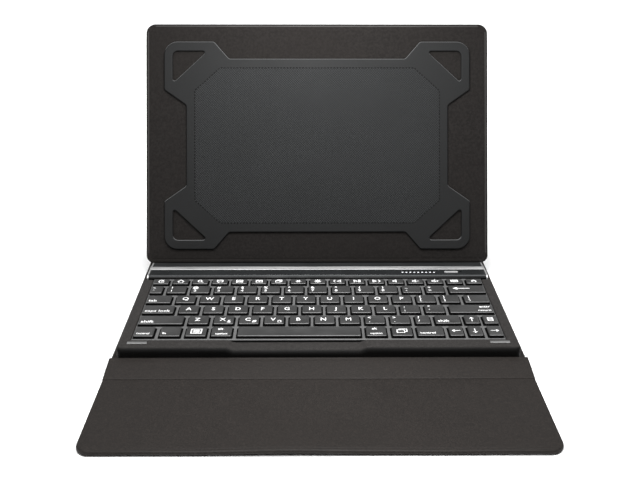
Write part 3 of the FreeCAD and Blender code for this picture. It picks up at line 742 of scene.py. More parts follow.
def spine_top(x, y, inset):
    side = inside(x, spine_x0, spine_x1)
    join_height = base_z1 - spine_z1
    return (spine_z1 - edge_drop(side, 1.1) - edge_drop(spine_y1 - y, 1.1) - turned_edge(side)
            + join_height * (1 - smooth(spine_start, spine_y0 + 1.5, y)) - 0.25 * bump(y, 96.6, 0.8))


def spine_bottom(x, y, inset):
    side = inside(x, spine_x0, spine_x1)
    return spine_z0 + edge_drop(side, 1.1) + edge_drop(spine_y1 - y, 1.1)


spine_lines = stations(spine_start, spine_y1, (0.0,), 4.0,
                       [spine_start + d for d in (0.3, 0.7, 1.1, 1.6, 2.1, 2.7, 3.4)]
                       + [spine_y1 - d for d in EDGE[1:8]])
points, faces = sheet_mesh(stations(spine_x0, spine_x1, EDGE, 9.0), spine_lines, (0, 0),
                           spine_top, spine_bottom)
spine = add_mesh("spine_shell", points, faces, "outer_cover")
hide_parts("spine_cover", "spine_board")
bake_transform(spine)


# ---- Panel -------------------------------------------------------------------------------------------------
(panel_x0, _, _), (panel_x1, _, _) = node_box("panel_lining")


def panel_face(x, y, inset):
    """The lining's face: soft edge, turned border, and a small slanting pucker at each lower corner."""
    pucker = 0.0
    if y < 14 and abs(x) > 120:
        across = (abs(x) - panel_x1 + 7.0) + (y - 3.5)
        along = (abs(x) - panel_x1 + 7.0) - (y - 3.5)
        pucker = 0.5 * bump(across, 0.0, 0.9) * bump(along, 0.0, 5.0)
    border = 0.06 * bump(inset, 1.6, 0.8)
    quilt = 0.05 * math.sin(x / 37.0) * math.sin(y / 29.0) * smooth(4.0, 20.0, inset)
    return -0.03 - edge_drop(inset, 0.9) - turned_edge(inset, 3.0, 0.16, 0.3) - pucker + border + quilt


def panel_rear(x, y, inset):
    return -PANEL_THICKNESS + (edge_drop(inset, 0.9) if y < FOLD_HEIGHT else 0.0)


corner_lines = [0.7 * i for i in range(1, 18)]
panel_xs = stations(panel_x0, panel_x1, EDGE, 8.0,
                    [panel_x0 + d for d in corner_lines] + [panel_x1 - d for d in corner_lines])
panel_ys = stations(0.0, PANEL_HEIGHT, EDGE, 8.0, corner_lines + [FOLD_HEIGHT, FOLD_HEIGHT + 0.5])
points, faces = sheet_mesh(panel_xs, panel_ys, (5.6, 7.6), panel_face, panel_rear)


def panel_index(centre, normal):
    """1 on the ridge of the turned hem along the panel's straight edges, 0 elsewhere. Slot 1 is a lighter leather:
    partly the hem's own cover, partly a painted highlight along it.
    """
    up = panel_parts(centre.y - PANEL_FOOT[0], centre.z - PANEL_FOOT[1])[0]
    side = panel_x1 - abs(centre.x)
    top = PANEL_HEIGHT - up
    ridge = (1.25 < top < 2.3 and side > 8.0) or (1.25 < side < 2.3 and 8.0 < up < PANEL_HEIGHT - 8.0)
    return 1 if ridge and panel_parts(normal.y, normal.z)[1] > 0.5 else 0


panel_shell = add_mesh("panel_shell", [on_panel(p) for p in points], faces, "lining", 35.0, (hem_highlight_look,),
                       panel_index)
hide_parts("panel_lining", "panel_board")
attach(panel_shell, "panel")


# ---- Back cover and rear leg -------------------------------------------------------------------------------
def back_front(x, y, inset):
    return -PANEL_THICKNESS - 0.01


def back_rear(x, y, inset):
    free = min(inside(x, panel_x0, panel_x1), PANEL_HEIGHT - y)
    return (-PANEL_THICKNESS - BACK_THICKNESS + edge_drop(free, 1.4) + turned_edge(free) * 0.6
            + 0.25 * bump(y, FOLD_HEIGHT + 0.35, 0.7))


back_ys = stations(FOLD_HEIGHT + 0.35, PANEL_HEIGHT, (0.0,), 7.0,
                   [PANEL_HEIGHT - d for d in EDGE] + [FOLD_HEIGHT + d for d in (0.7, 1.2, 2.0, 3.5)]
                   + [PANEL_HEIGHT - 8.0])
points, faces = sheet_mesh(stations(panel_x0, panel_x1, EDGE + (8.0,), 8.0), back_ys, (0, 7.6),
                           back_front, back_rear)
back_cover = add_mesh("back_cover_shell", [on_panel(p) for p in points], faces, "outer_cover")
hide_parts("panel_back_cover")
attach(back_cover, "panel")

LEG_BEND = 4.0
fold_y, fold_z = joint_point("leg_fold")


def on_leg(point):
    """Carry a point drawn flat on the closed panel's back to the opened leg, bent over the first stretch."""
    x, y, z = on_panel(point)
    turn = LEG_OPENING * smooth(0.0, LEG_BEND, FOLD_HEIGHT + 0.3 - point[1])
    dy = y - fold_y
    dz = z - fold_z
    return (x, fold_y + dy * math.cos(turn) - dz * math.sin(turn),
            fold_z + dy * math.sin(turn) + dz * math.cos(turn))


def leg_front(x, y, inset):
    side = inside(x, panel_x0, panel_x1)
    return LEG_INNER - edge_drop(side, 0.9) - edge_drop(y + LEG_OVERHANG, 0.98) - turned_edge(side) * 0.5


def leg_rear(x, y, inset):
    side = inside(x, panel_x0, panel_x1)
    return (LEG_OUTER + edge_drop(side, 0.9) + edge_drop(y + LEG_OVERHANG, 0.98) + turned_edge(side) * 0.6
            + 0.25 * bump(y, FOLD_HEIGHT + 0.3, 0.8))


leg_ys = stations(-LEG_OVERHANG, FOLD_HEIGHT + 0.3, (0.0,), 8.0,
                  [d - LEG_OVERHANG for d in EDGE[1:8]]
                  + [FOLD_HEIGHT + 0.3 - d for d in (0.3, 0.7, 1.1, 1.6, 2.1, 2.7, 3.3, 4.0, 5.0)])
points, faces = sheet_mesh(stations(panel_x0, panel_x1, EDGE, 9.0), leg_ys, (0, 0), leg_front, leg_rear)
rear_leg = add_mesh("rear_leg_shell", [on_leg(p) for p in points], faces, "outer_cover")
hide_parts("rear_leg_cover", "rear_leg_board")
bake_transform(rear_leg)


# ---- Tablet mat and its corner loops -----------------------------------------------------------------------
MAT_THICKNESS = 1.6
BOND_TOP = (77.5, 62.0)
BOND_SIDE = (97.8, 44.0)
BOND_LENGTH = math.hypot(BOND_SIDE[0] - BOND_TOP[0], BOND_TOP[1] - BOND_SIDE[1])
ACROSS = ((BOND_TOP[1] - BOND_SIDE[1]) / BOND_LENGTH, (BOND_SIDE[0] - BOND_TOP[0]) / BOND_LENGTH)
FIELD = (BOND_SIDE[0], BOND_TOP[1], ACROSS[0] * BOND_TOP[0] + ACROSS[1] * BOND_TOP[1])
MAT_SPLIT = FIELD[2] + 2.0
MAT_QUARTER = [((70.5, 69.3), 3.0), ((82.4, 83.0), 3.0), ((122.2, 83.0), 10.7), ((122.2, 44.6), 2.5),
               ((104.6, 32.3), 3.0)]
WINDOW = [((87.7, 75.5), 1.4), ((115.3, 75.5), 4.0), ((115.3, 49.9), 1.4)]
# (distance in from the outline, height) up the mat's edge.
MAT_PROFILE = ((0.35, 0.02), (0.0, 0.25), (0.0, 0.95), (0.14, 1.3), (0.38, 1.5), (0.7, MAT_THICKNESS),
               (1.05, MAT_THICKNESS))


def rounded_outline(corners, step=0.9):
    """A closed outline with its corners rounded: [(x, y), ...] from [((x, y), radius), ...]."""
    outline = []
    count = len(corners)
    for k in range(count):
        before = Vector(corners[k - 1][0])
        at = Vector(corners[k][0])
        after = Vector(corners[(k + 1) % count][0])
        a = (before - at).normalized()
        b = (after - at).normalized()
        half = math.acos(max(-1.0, min(1.0, a.dot(b)))) / 2
        radius = corners[k][1]
        reach = radius / math.tan(half)
        centre = at + (a + b).normalized() * (radius / math.sin(half))
        start = at + a * reach - centre
        end = at + b * reach - centre
        sweep = math.atan2(start.x * end.y - start.y * end.x, start.dot(end))
        pieces = max(3, int(abs(sweep) * radius / step))
        for i in range(pieces + 1):
            c = math.cos(sweep * i / pieces)
            s = math.sin(sweep * i / pieces)
            outline.append((centre.x + start.x * c - start.y * s, centre.y + start.x * s + start.y * c))
    return outline


def offset_outline(outline, distance):
    """The outline moved inwards (anticlockwise outline) by a small distance."""
    moved = []
    count = len(outline)
    for k in range(count):
        a = Vector(outline[k - 1])
        p = Vector(outline[k])
        b = Vector(outline[(k + 1) % count])
        u = (p - a).normalized()
        v = (b - p).normalized()
        normal = Vector((-u.y - v.y, u.x + v.x)).normalized()
        scale = 1.0 / max(0.5, normal.dot(Vector((-v.y, v.x))))
        moved.append((p.x + normal.x * distance * scale, p.y + normal.y * distance * scale))
    return moved


def full_mat():
    """The whole mat as one closed bmesh, drawn flat about its middle."""
    right = MAT_QUARTER + [((x, -y), r) for (x, y), r in reversed(MAT_QUARTER)]
    corners = right + [((-x, -y), r) for (x, y), r in right]
    outlines = [rounded_outline(list(reversed(corners)))]
    for sx, sy in ((1, 1), (1, -1), (-1, -1), (-1, 1)):
        window = [((x * sx, y * sy), r) for (x, y), r in WINDOW]
        outlines.append(rounded_outline(window if sx * sy > 0 else list(reversed(window))))
    work = bmesh.new()
    tops = []
    bottoms = []
    for k, outline in enumerate(outlines):
        area = sum(outline[i - 1][0] * outline[i][1] - outline[i][0] * outline[i - 1][1]
                   for i in range(len(outline)))
        if (area > 0) != (k == 0):
            outline = list(reversed(outline))
        rings = []
        for inset, z in MAT_PROFILE:
            rings.append([work.verts.new((x, y, z)) for x, y in offset_outline(outline, inset)])
        for low, high in zip(rings, rings[1:]):
            for i in range(len(low)):
                work.faces.new((low[i - 1], low[i], high[i], high[i - 1]))
        bottoms += [work.edges.get((rings[0][i - 1], rings[0][i])) for i in range(len(rings[0]))]
        tops += [work.edges.get((rings[-1][i - 1], rings[-1][i])) for i in range(len(rings[-1]))]
    for edges in (tops, bottoms):
        bmesh.ops.triangle_fill(work, use_beauty=True, use_dissolve=False, edges=edges)
    bmesh.ops.recalc_face_normals(work, faces=work.faces)
    return work


def cut(work, point, normal, drop_far=False, drop_near=False):
    """Cut along a plane, and drop one side of it if asked, closing the cut."""
    geometry = work.verts[:] + work.edges[:] + work.faces[:]
    result = bmesh.ops.bisect_plane(work, geom=geometry, plane_co=point, plane_no=normal, dist=1e-5,
                                    clear_outer=drop_far, clear_inner=drop_near)
    if drop_far or drop_near:
        edges = [e for e in result["geom_cut"] if isinstance(e, bmesh.types.BMEdge) and e.is_valid]
        edges = [e for e in edges if len(e.link_faces) == 1]
        if edges:
            bmesh.ops.holes_fill(work, edges=edges)


def finish_mat(work, name):
    """The flat mat piece as a mesh object on the panel."""
    vertices = [on_mat(vert.co) for vert in work.verts]
    work.verts.index_update()
    faces = [tuple(v.index for v in face.verts) for face in work.faces]
    work.free()
    return add_mesh(name, vertices, faces, "mat_rubber", 40.0, (hatch_look, mat_lit_look, mat_shaded_edge_look),
                    mat_index)


def mat_index(centre, normal):
    """0 plain face, 1 pip-covered middle, 2 edges that face up the panel, painted lighter as a highlight, 3 edges
    that face down it, painted darker as shade.
    """
    rise, tilt = panel_parts(normal.y, normal.z)
    if tilt < 0.93:
        if tilt > 0.25 and rise > 0.25:
            return 2
        return 3 if rise < 0.25 or tilt < 0.25 else 0
    up, out = panel_parts(centre.y - PANEL_FOOT[0], centre.z - PANEL_FOOT[1])
    x = abs(centre.x)
    y = abs(up - MAT_CENTRE)
    inside = x < FIELD[0] and y < FIELD[1] and ACROSS[0] * x + ACROSS[1] * y < FIELD[2]
    return 1 if inside and out > 1.45 else 0


centre = full_mat()
for sx in (1, -1):
    for sy in (1, -1):
        normal = (ACROSS[0] * sx, ACROSS[1] * sy, 0)
        cut(centre, (normal[0] * MAT_SPLIT, normal[1] * MAT_SPLIT, 0), normal, drop_far=True)
        cut(centre, (normal[0] * FIELD[2], normal[1] * FIELD[2], 0), normal)
for x in (FIELD[0], -FIELD[0]):
    cut(centre, (x, 0, 0), (1, 0, 0))
for y in (FIELD[1], -FIELD[1]):
    cut(centre, (0, y, 0), (0, 1, 0))
mat_centre = finish_mat(centre, "mat_middle")
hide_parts("mat_centre")
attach(mat_centre, "panel")

for sx, sy, body in ((1, 1, "corner_loop_top_right"), (1, -1, "corner_loop_bottom_right"),
                     (-1, 1, "corner_loop_top_left"), (-1, -1, "corner_loop_bottom_left")):
    loop = full_mat()
    normal = (ACROSS[0] * sx, ACROSS[1] * sy, 0)
    cut(loop, (normal[0] * MAT_SPLIT, normal[1] * MAT_SPLIT, 0), normal, drop_near=True)
    for distance in [MAT_SPLIT + d for d in (0.5, 1.0, 1.5, 2.0, 2.5, 3.1, 3.8, 4.6, 7.6, 12.6)]:
        cut(loop, (normal[0] * distance, normal[1] * distance, 0), normal)
    piece = finish_mat(loop, body + "_strap")
    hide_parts(body)
    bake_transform(piece)


STITCH_PITCH = 2.5
# (place along a stitch, half width, rise) and (share of the half width, share of the height) across it.
STITCH_ALONG = ((-0.75, 0.3, 0.0), (-0.5, 0.52, 0.05), (0.0, 0.6, 0.08), (0.5, 0.52, 0.05), (0.75, 0.3, 0.0))
STITCH_ACROSS = ((-1.0, 0.0), (-0.7, 0.75), (0.0, 1.0), (0.7, 0.75), (1.0, 0.0))


def stitch_line():
    """Stitches that run round the field: short rounded bars, slightly sunk. Their near-black is thread colour and
    painted shade of the stitch holes.
    """
    corners = [BOND_TOP, BOND_SIDE]
    right = corners + [(x, -y) for x, y in reversed(corners)]
    outline = right + [(-x, -y) for x, y in right]
    parts = []
    for k in range(len(outline)):
        a = Vector(outline[k])
        b = Vector(outline[(k + 1) % len(outline)])
        length = (b - a).length
        count = round(length / STITCH_PITCH)
        along = (b - a) / length
        across = Vector((-along.y, along.x))
        for i in range(count):
            middle = a + along * (length * (i + 0.5) / count)
            rings = []
            for t, width, rise in STITCH_ALONG:
                ring = [(middle + along * t + across * (side * width), height)
                        for side, height in STITCH_ACROSS]
                rings.append([(p.x, p.y, MAT_THICKNESS - 0.04 + 0.05 * h + rise * h) for p, h in ring])
            parts.append(loft(rings))
    return join(parts)


points, faces = stitch_line()
stitches = add_mesh("mat_stitches", [on_mat(p) for p in points], faces, "mat_rubber")
stitches.data.materials[0] = thread_and_hole_shade_look
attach(stitches, "panel")


# ---- Keys --------------------------------------------------------------------------------------------------
KEY_LEFT = -124.75
KEY_RIGHT = 124.75
KEY_PITCH = 17.5
KEY_WIDTH = 13.8
FUNCTION_WIDTH = 11.65
BLOCK = KEY_RIGHT - KEY_LEFT
ROWS = {"function": (8.5, 8.8), "number": (-8.5, 12.8), "upper": (-26.0, 12.8), "home": (-43.5, 12.8),
        "lower": (-61.0, 12.8), "bottom": (-79.7, 14.2)}
DISH = 0.22


def run(start, count, pitch=KEY_PITCH, width=KEY_WIDTH):
    return [(start + i * pitch, start + i * pitch + width) for i in range(count)]


function_row = run(0.0, 17, (BLOCK - FUNCTION_WIDTH) / 16, FUNCTION_WIDTH)
key_groups = {
    "escape_key": ("function", function_row[:1]),
    "function_row_keys": ("function", function_row[1:-1]),
    "lock_key": ("function", function_row[-1:]),
    "number_row_keys": ("number", [(0.0, 9.0)] + run(12.7, 12)),
    "backspace_key": ("number", [(222.7, BLOCK)]),
    "tab_key": ("upper", [(0.0, 17.75)]),
    "upper_letter_keys": ("upper", run(21.45, 12) + [(231.45, BLOCK)]),
    "caps_lock_key": ("home", [(0.0, 22.1)]),
    "home_letter_keys": ("home", run(25.8, 11)),
    "enter_key": ("home", [(218.3, BLOCK)]),
    "left_shift_key": ("lower", [(0.0, 30.9)]),
    "lower_letter_keys": ("lower", run(34.6, 9) + [(192.1, 202.3)]),
    "right_shift_key": ("lower", [(205.9, 223.4)]),
    "up_arrow_key": ("lower", [(226.5, 236.5)]),
    "page_key": ("lower", [(239.6, BLOCK)]),
    "left_control_key": ("bottom", [(0.0, 13.3)]),
    "layer_key": ("bottom", [(17.4, 31.2)]),
    "modifier_keys": ("bottom", [(34.9, 48.7), (52.1, 65.9), (156.9, 170.6), (174.5, 188.2)]),
    "space_key": ("bottom", [(69.9, 153.2)]),
    "right_control_key": ("bottom", [(191.7, 209.6)]),
    "left_arrow_key": ("bottom", [(213.4, 222.9)]),
    "down_arrow_key": ("bottom", [(226.4, 235.9)]),
    "right_arrow_key": ("bottom", [(239.7, BLOCK)]),
}


def key_rect(row, span):
    front, depth = ROWS[row]
    return KEY_LEFT + span[0], KEY_LEFT + span[1], front, front + depth


def key_surface(rect, x, y, top):
    """Height of a key's dished top."""
    x0, x1, y0, y1 = rect
    return top - DISH * smooth(1.0, 3.6, inside(x, x0, x1)) * smooth(1.0, 3.6, inside(y, y0, y1))


def rect_ring(rect, inset, radius, z):
    """A rectangle's outline with round corners, moved in by inset."""
    x0, x1, y0, y1 = rect[0] + inset, rect[1] - inset, rect[2] + inset, rect[3] - inset
    ring = []
    for cx, cy, first in ((x1 - radius, y1 - radius, 0), (x0 + radius, y1 - radius, 90),
                          (x0 + radius, y0 + radius, 180), (x1 - radius, y0 + radius, 270)):
        for a in (0, 30, 60, 90):
            turn = math.radians(first + a)
            ring.append((cx + radius * math.cos(turn), cy + radius * math.sin(turn), z))
    return ring


def keycap(rect, bottom, top):
    """One keycap: tapered skirt, rounded shoulder and a shallow dish."""
    rings = [rect_ring(rect, 0.0, 1.1, bottom), rect_ring(rect, 0.0, 1.1, bottom + 0.9),
             rect_ring(rect, 0.05, 1.05, top - 0.5), rect_ring(rect, 0.12, 1.0, top - 0.22),
             rect_ring(rect, 0.26, 0.95, top - 0.05), rect_ring(rect, 0.48, 0.85, top)]
    for inset in (1.4, 2.1, 2.9, 3.7):
        ring = rect_ring(rect, inset, 0.8, top)
        rings.append([(x, y, key_surface(rect, x, y, top)) for x, y, _ in ring])
    return loft(rings)


key_bottom = node_box("space_key")[0][2]
key_top = node_box("space_key")[1][2]
KEY_SINK = 0.01
SKIRT_DROP = 0.42
for node, (row, spans) in key_groups.items():
    points, faces = join([keycap(key_rect(row, span), key_bottom, key_top - KEY_SINK) for span in spans])
    # Skirt faces below SKIRT_DROP take the near-black painted shade look.
    caps = add_mesh(node + "_caps", points, faces, "key_plastic", 50.0, (skirt_shade_look,),
                    lambda centre, normal: 0 if centre.z > key_top - SKIRT_DROP else 1)
    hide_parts(node)
    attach(caps, node)


# ---- Legends: thin generic lettering and icons on the keys ------------------------------------------------
LEGEND_RISE = 0.03


def text_mesh(words, size, align="CENTER", stretch=0.9):
    """Thin flat lettering about the origin, in millimetres."""
    curve = bpy.data.curves.new("legend_text", "FONT")
    curve.body = words
    curve.size = size
    curve.extrude = 0.02
    curve.offset = 0.055
    curve.resolution_u = 3
    curve.align_x = align
    curve.align_y = "CENTER"
    holder = place_object("legend_text", curve)
    mesh = bpy.data.meshes.new_from_object(holder.evaluated_get(bpy.context.evaluated_depsgraph_get()))
    vertices = [(v.co.x * stretch, v.co.y, v.co.z) for v in mesh.vertices]
    faces = [tuple(p.vertices) for p in mesh.polygons]
    bpy.data.objects.remove(holder)
    bpy.data.curves.remove(curve)
    bpy.data.meshes.remove(mesh)
    return vertices, faces


def stroke_mesh(strokes, width):
    """Thin bars along each stroke: a list of [(x, y), ...] polylines."""
    parts = []
    for line in strokes:
        for a, b in zip(line, line[1:]):
            a = Vector(a)
            b = Vector(b)
            along = (b - a).normalized() * width / 2
            across = Vector((-along.y, along.x))
            base = [a - along - across, b + along - across, b + along + across, a - along + across]
            parts.append(loft([[(p.x, p.y, z) for p in base] for z in (-0.02, 0.02)]))
    return join(parts)


def circle(x, y, r, first=0, last=360, count=14):
    return [(x + r * math.cos(math.radians(first + (last - first) * i / count)),
             y + r * math.sin(math.radians(first + (last - first) * i / count))) for i in range(count + 1)]


def frame_box(x0, y0, x1, y1):
    return [(x0, y0), (x1, y0), (x1, y1), (x0, y1), (x0, y0)]


def sun(radius, inner, outer, rays):
    turns = [2 * math.pi * i / rays for i in range(rays)]
    rays = [[(r * math.cos(a), r * math.sin(a)) for r in (inner, outer)] for a in turns]
    return [circle(0, 0, radius)] + rays


def arrow(dx, dy):
    return [[(-1.3 * dx, -1.3 * dy), (1.3 * dx, 1.3 * dy)],
            [(0.6 * (dx - dy), 0.6 * (dy + dx)), (1.3 * dx, 1.3 * dy), (0.6 * (dx + dy), 0.6 * (dy - dx))]]


SPEAKER = [(-1.1, -0.4), (-0.5, -0.4), (0.1, -0.9), (0.1, 0.9), (-0.5, 0.4), (-1.1, 0.4), (-1.1, -0.4)]
ICONS = {
    "home": [[(-1.2, 0.1), (0, 1.1), (1.2, 0.1)], [(-0.8, 0.2), (-0.8, -1.0), (0.8, -1.0), (0.8, 0.2)]],
    "search": [circle(-0.2, 0.25, 0.75), [(0.35, -0.3), (1.1, -1.05)]],
    "speech": [frame_box(-1.1, -0.4, 1.1, 0.9), [(-0.5, -0.4), (-0.7, -1.0), (0.0, -0.4)]],
    "photos": [frame_box(-1.2, -0.9, 1.2, 0.9),
               [(-1.0, -0.7), (-0.2, 0.3), (0.3, -0.3), (0.6, 0.1), (1.0, -0.7)]],
    "mail": [frame_box(-1.2, -0.8, 1.2, 0.8), [(-1.2, 0.8), (0, -0.1), (1.2, 0.8)]],
    "sun_small": sun(0.4, 0.75, 0.95, 6),
    "sun_large": sun(0.5, 0.85, 1.2, 8),
    "back": [[(-0.9, -0.8), (-1.5, 0), (-0.9, 0.8)], [(1.3, -0.9), (0, 0), (1.3, 0.9), (1.3, -0.9)]],
    "play": [[(-1.1, -0.9), (0.3, 0), (-1.1, 0.9), (-1.1, -0.9)], [(0.8, -0.9), (0.8, 0.9)],
             [(1.3, -0.9), (1.3, 0.9)]],
    "next": [[(0.9, -0.8), (1.5, 0), (0.9, 0.8)], [(-1.3, -0.9), (0, 0), (-1.3, 0.9), (-1.3, -0.9)]],
    "mute": [SPEAKER],
    "quieter": [SPEAKER, [(0.6, 0), (1.3, 0)]],
    "louder": [SPEAKER, [(0.6, 0), (1.4, 0)], [(1.0, -0.4), (1.0, 0.4)]],
    "keyboard": [frame_box(-1.3, -0.7, 1.3, 0.7), [(-0.9, 0.25), (0.9, 0.25)], [(-0.6, -0.25), (0.6, -0.25)]],
    "lock": [frame_box(-0.8, -0.9, 0.8, 0.2), circle(0, 0.2, 0.5, 0, 180, 8)],
    "escape": [circle(0, 0, 1.0, 60, 360, 12), [(0, 0), (0.9, 0.9)]],
    "overlap": [frame_box(-1.2, -0.9, 0.6, 0.5),
                [(-0.6, 0.5), (-0.6, 1.0), (1.2, 1.0), (1.2, -0.4), (0.6, -0.4)]],
    "menu": [frame_box(-1.7, -1.5, 1.7, 1.5), [(-0.9, 0.7), (0.9, 0.7)], [(-0.9, 0.0), (0.9, 0.0)],
             [(-0.9, -0.7), (0.9, -0.7)]],
    "page": [frame_box(-0.9, -1.1, 0.9, 1.1), [(-0.45, 0.4), (0.45, 0.4)], [(-0.45, -0.2), (0.45, -0.2)]],
    "left": arrow(-1, 0),
    "right": arrow(1, 0),
    "up": arrow(0, 1),
    "down": arrow(0, -1),
    "long_left": [[(5.5, 0), (-5.0, 0)], [(-3.2, 1.1), (-5.4, 0), (-3.2, -1.1), (-3.2, 1.1)],
                  [(-3.6, 0.5), (-3.6, -0.5)], [(-4.2, 0.3), (-4.2, -0.3)]],
    "cut": [circle(-0.4, -0.5, 0.3), circle(0.4, -0.5, 0.3), [(-0.3, -0.2), (0.4, 1.0)],
            [(0.3, -0.2), (-0.4, 1.0)]],
    "copy": [frame_box(-0.7, -0.8, 0.3, 0.4), frame_box(-0.2, -0.3, 0.8, 0.9)],
    "paste": [frame_box(-0.7, -0.8, 0.7, 0.7), [(-0.3, 0.9), (0.3, 0.9)]],
}

FUNCTION_ICONS = ["home", "search", "speech", "photos", "mail", "overlap", "sun_small", "sun_large", "back",
                  "play", "next", "mute", "quieter", "louder", "keyboard"]
LETTER = 6.4
WORD = 5.3
SMALL_WORD = 4.0
SYMBOL = 4.7
# Letters, their place across the key, and the symbol pairs that follow them in the row.
LETTER_ROWS = {
    "number_row_keys": ("", 0.0, ("~`", "!1", "@2", "#3", "$4", "%5", "^6", "&7", "*8", "(9", ")0", "_-",
                                  "+=")),
    "upper_letter_keys": ("QWERTYUIOP", 0.48, ("{[", "}]", "|\\")),
    "home_letter_keys": ("ASDFGHJKL", 0.48, (":;", "\"'")),
    "lower_letter_keys": ("ZXCVBNM", 0.42, ("<,", ">.", "?/")),
}
# Word, size and width of the keys with one word.
WORD_KEYS = {
    "tab_key": ("tab", WORD, 0.9),
    "caps_lock_key": ("caps lock", WORD, 0.9),
    "left_shift_key": ("shift", WORD, 0.98),
    "right_shift_key": ("shift", WORD, 0.9),
    "left_control_key": ("control", SMALL_WORD - 0.2, 0.78),
    "right_control_key": ("control", SMALL_WORD, 0.9),
    "layer_key": ("fn", SMALL_WORD, 0.9),
}
ICON_KEYS = {"escape_key": "escape", "lock_key": "lock", "up_arrow_key": "up", "left_arrow_key": "left",
             "down_arrow_key": "down", "right_arrow_key": "right", "page_key": "page"}


def text_at(at, words, fx, fy, size, align="CENTER", stretch=0.9):
    """(place, mesh, x fraction, y fraction) of one word on a key."""
    return (at, text_mesh(words, size, align, stretch), fx, fy)


def icon_at(at, name, fx=0.5, fy=0.52, scale=(1.9, 2.2), width=0.62):
    """The same for one icon."""
    strokes = [[(x * scale[0], y * scale[1]) for x, y in line] for line in ICONS[name]]
    return (at, stroke_mesh(strokes, width), fx, fy)


def pairs_at(places, pairs):
    """Upper and lower symbol of each key, stacked at its left."""
    made = []
    for at, pair in zip(places, pairs):
        made.append(text_at(at, pair[0], 0.14, 0.73, SYMBOL))
        made.append(text_at(at, pair[1], 0.14, 0.32, SYMBOL))
    return made


def legends_for(node, row, spans):
    """Every piece of lettering of one key node."""
    here = [(row, span) for span in spans]
    first = here[0]
    if node == "function_row_keys":
        return [icon_at(at, name) for at, name in zip(here, FUNCTION_ICONS)]
    if node in LETTER_ROWS:
        letters, fx, pairs = LETTER_ROWS[node]
        made = [text_at(at, c, fx, 0.55, LETTER) for at, c in zip(here, letters)]
        if node == "lower_letter_keys":
            for at, name in zip(here[1:4], ("cut", "copy", "paste")):
                made.append(icon_at(at, name, 0.84, 0.3, (1.5, 1.9), 0.45))
        return made + pairs_at(here[len(letters):], pairs)
    if node == "modifier_keys":
        made = [icon_at(here[0], "menu", 0.5, 0.52, (2.0, 2.1), 0.8),
                icon_at(here[3], "overlap", 0.5, 0.52, (2.8, 2.8), 0.62)]
        for at in here[1:3]:
            made.append(text_at(at, "alt", 0.4, 0.76, SMALL_WORD))
            made.append(text_at(at, "option", 0.5, 0.25, SMALL_WORD, stretch=0.78))
        return made
    if node == "enter_key":
        return [text_at(first, "enter", 1.0, 0.76, SMALL_WORD, "RIGHT"),
                text_at(first, "return", 1.0, 0.3, SMALL_WORD, "RIGHT")]
    if node in WORD_KEYS:
        word, size, stretch = WORD_KEYS[node]
        return [text_at(first, word, 0.0, 0.3, size, "LEFT", stretch)]
    if node in ICON_KEYS:
        return [icon_at(first, ICON_KEYS[node])]
    if node == "backspace_key":
        return [icon_at(first, "long_left", 0.33, 0.6, (1.05, 1.3), 0.85)]
    return []


LEGEND_MARGIN = 1.6
for node, (row, spans) in key_groups.items():
    parts = []
    for (at_row, span), (vertices, faces), fx, fy in legends_for(node, row, spans):
        rect = key_rect(at_row, span)
        x = rect[0] + LEGEND_MARGIN + (rect[1] - rect[0] - 2 * LEGEND_MARGIN) * fx
        y = rect[2] + (rect[3] - rect[2]) * fy
        placed = [(x + vx, y + vy, key_surface(rect, x + vx, y + vy, key_top - KEY_SINK) + LEGEND_RISE + vz)
                  for vx, vy, vz in vertices]
        parts.append((placed, faces))
    if parts:
        points, faces = join(parts)
        legend = add_mesh(node + "_legend", points, faces, "key_plastic")
        legend.data.materials[0] = legend_look
        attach(legend, node)


# ---- Floor, light and camera -------------------------------------------------------------------------------
FLOOR_SIDE = 8.0
FLOOR_DROP = 0.0005


def floor():
    """A white ground just under the object."""
    mesh = bpy.data.meshes.new("studio_floor")
    corners = [(x * FLOOR_SIDE, y * FLOOR_SIDE, -FLOOR_DROP) for x, y in ((-1, -1), (1, -1), (1, 1), (-1, 1))]
    mesh.from_pydata(corners, [], [(0, 1, 2, 3)])
    thing = place_object("studio_floor", mesh)
    n = Nodes("studio_floor_look")
    cloud = n.noise(1.5, 2.0)
    n.colour(n.mix(cloud, (0.95, 0.95, 0.95), (0.97, 0.97, 0.97)))
    n.fixed(Roughness=0.9)
    mesh.materials.append(n.material)


floor()


def area_light(name, place, aim, size, power):
    """A soft rectangular light in metres and watts, hidden from the camera."""
    light = bpy.data.lights.new(name, "AREA")
    light.shape = "RECTANGLE"
    light.size, light.size_y = size
    light.energy = power
    thing = place_object(name, light)
    thing.location = place
    direction = Vector(aim) - Vector(place)
    thing.rotation_euler = direction.to_track_quat("-Z", "Y").to_euler()
    thing.visible_camera = False


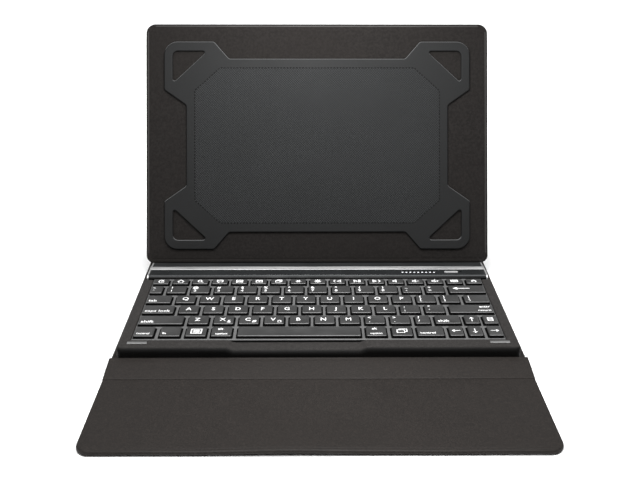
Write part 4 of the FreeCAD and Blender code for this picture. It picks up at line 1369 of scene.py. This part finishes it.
area_light("panel_softbox", (0.0, -0.01, 0.28), (0.0, 0.12, 0.17), (0.16, 0.05), 0.85)
area_light("flap_softbox", (0.01, -0.20, 0.26), (0.01, -0.14, 0.0), (0.12, 0.12), 0.7)

SUN_POWER = 3.7
SUN_WIDTH = math.radians(70.0)
SUN_LEAN = math.radians(8.0)
sun_light = bpy.data.lights.new("overhead", "SUN")
sun_light.energy = SUN_POWER
sun_light.angle = SUN_WIDTH
place_object("overhead", sun_light).rotation_euler = (SUN_LEAN, 0.0, 0.0)


def studio_world():
    """A white room, dim low down in front of the object, and plain white to the camera itself."""
    world = bpy.data.worlds.new("studio")
    world.use_nodes = True
    t = Tree(world.node_tree)
    seen = t.tree.nodes["Background"]
    seen.inputs["Color"].default_value = (1.0, 1.0, 1.0, 1.0)
    way = t.split(t.add("ShaderNodeTexCoord").outputs["Generated"])
    lit = t.add("ShaderNodeBackground")
    lean = t.math("MULTIPLY_ADD", way[1], 0.6, way[2])
    t.link(t.spread(lean, -0.35, 0.75, 0.02, 0.62), lit.inputs["Strength"])
    mixed = t.add("ShaderNodeMixShader")
    t.link(t.add("ShaderNodeLightPath").outputs["Is Camera Ray"], mixed.inputs["Fac"])
    t.link(lit.outputs[0], mixed.inputs[1])
    t.link(seen.outputs[0], mixed.inputs[2])
    t.link(mixed.outputs[0], t.tree.nodes["World Output"].inputs["Surface"])
    bpy.context.scene.world = world


studio_world()

# The camera was fitted to the photo: focal length in mm, place in mm, and turns in degrees.
CAMERA_LENS = 54.12
CAMERA_PLACE = (-5.27, -661.05, 303.9)
CAMERA_TURNS = ((-0.585, "Z"), (69.2, "X"), (0.126, "Z"))
camera_data = bpy.data.cameras.new("camera")
camera_data.lens = CAMERA_LENS
camera_data.sensor_width = 36.0
camera_data.sensor_fit = "HORIZONTAL"
camera_data.clip_start = 0.05
camera_data.clip_end = 50.0
camera = place_object("camera", camera_data)
placement = Matrix.Translation(Vector(CAMERA_PLACE) * MM)
for degrees, axis in CAMERA_TURNS:
    placement = placement @ Matrix.Rotation(math.radians(degrees), 4, axis)
camera.matrix_world = placement
bpy.context.scene.camera = camera
bpy.context.scene.view_settings.view_transform = "Standard"

bpy.context.view_layer.update()
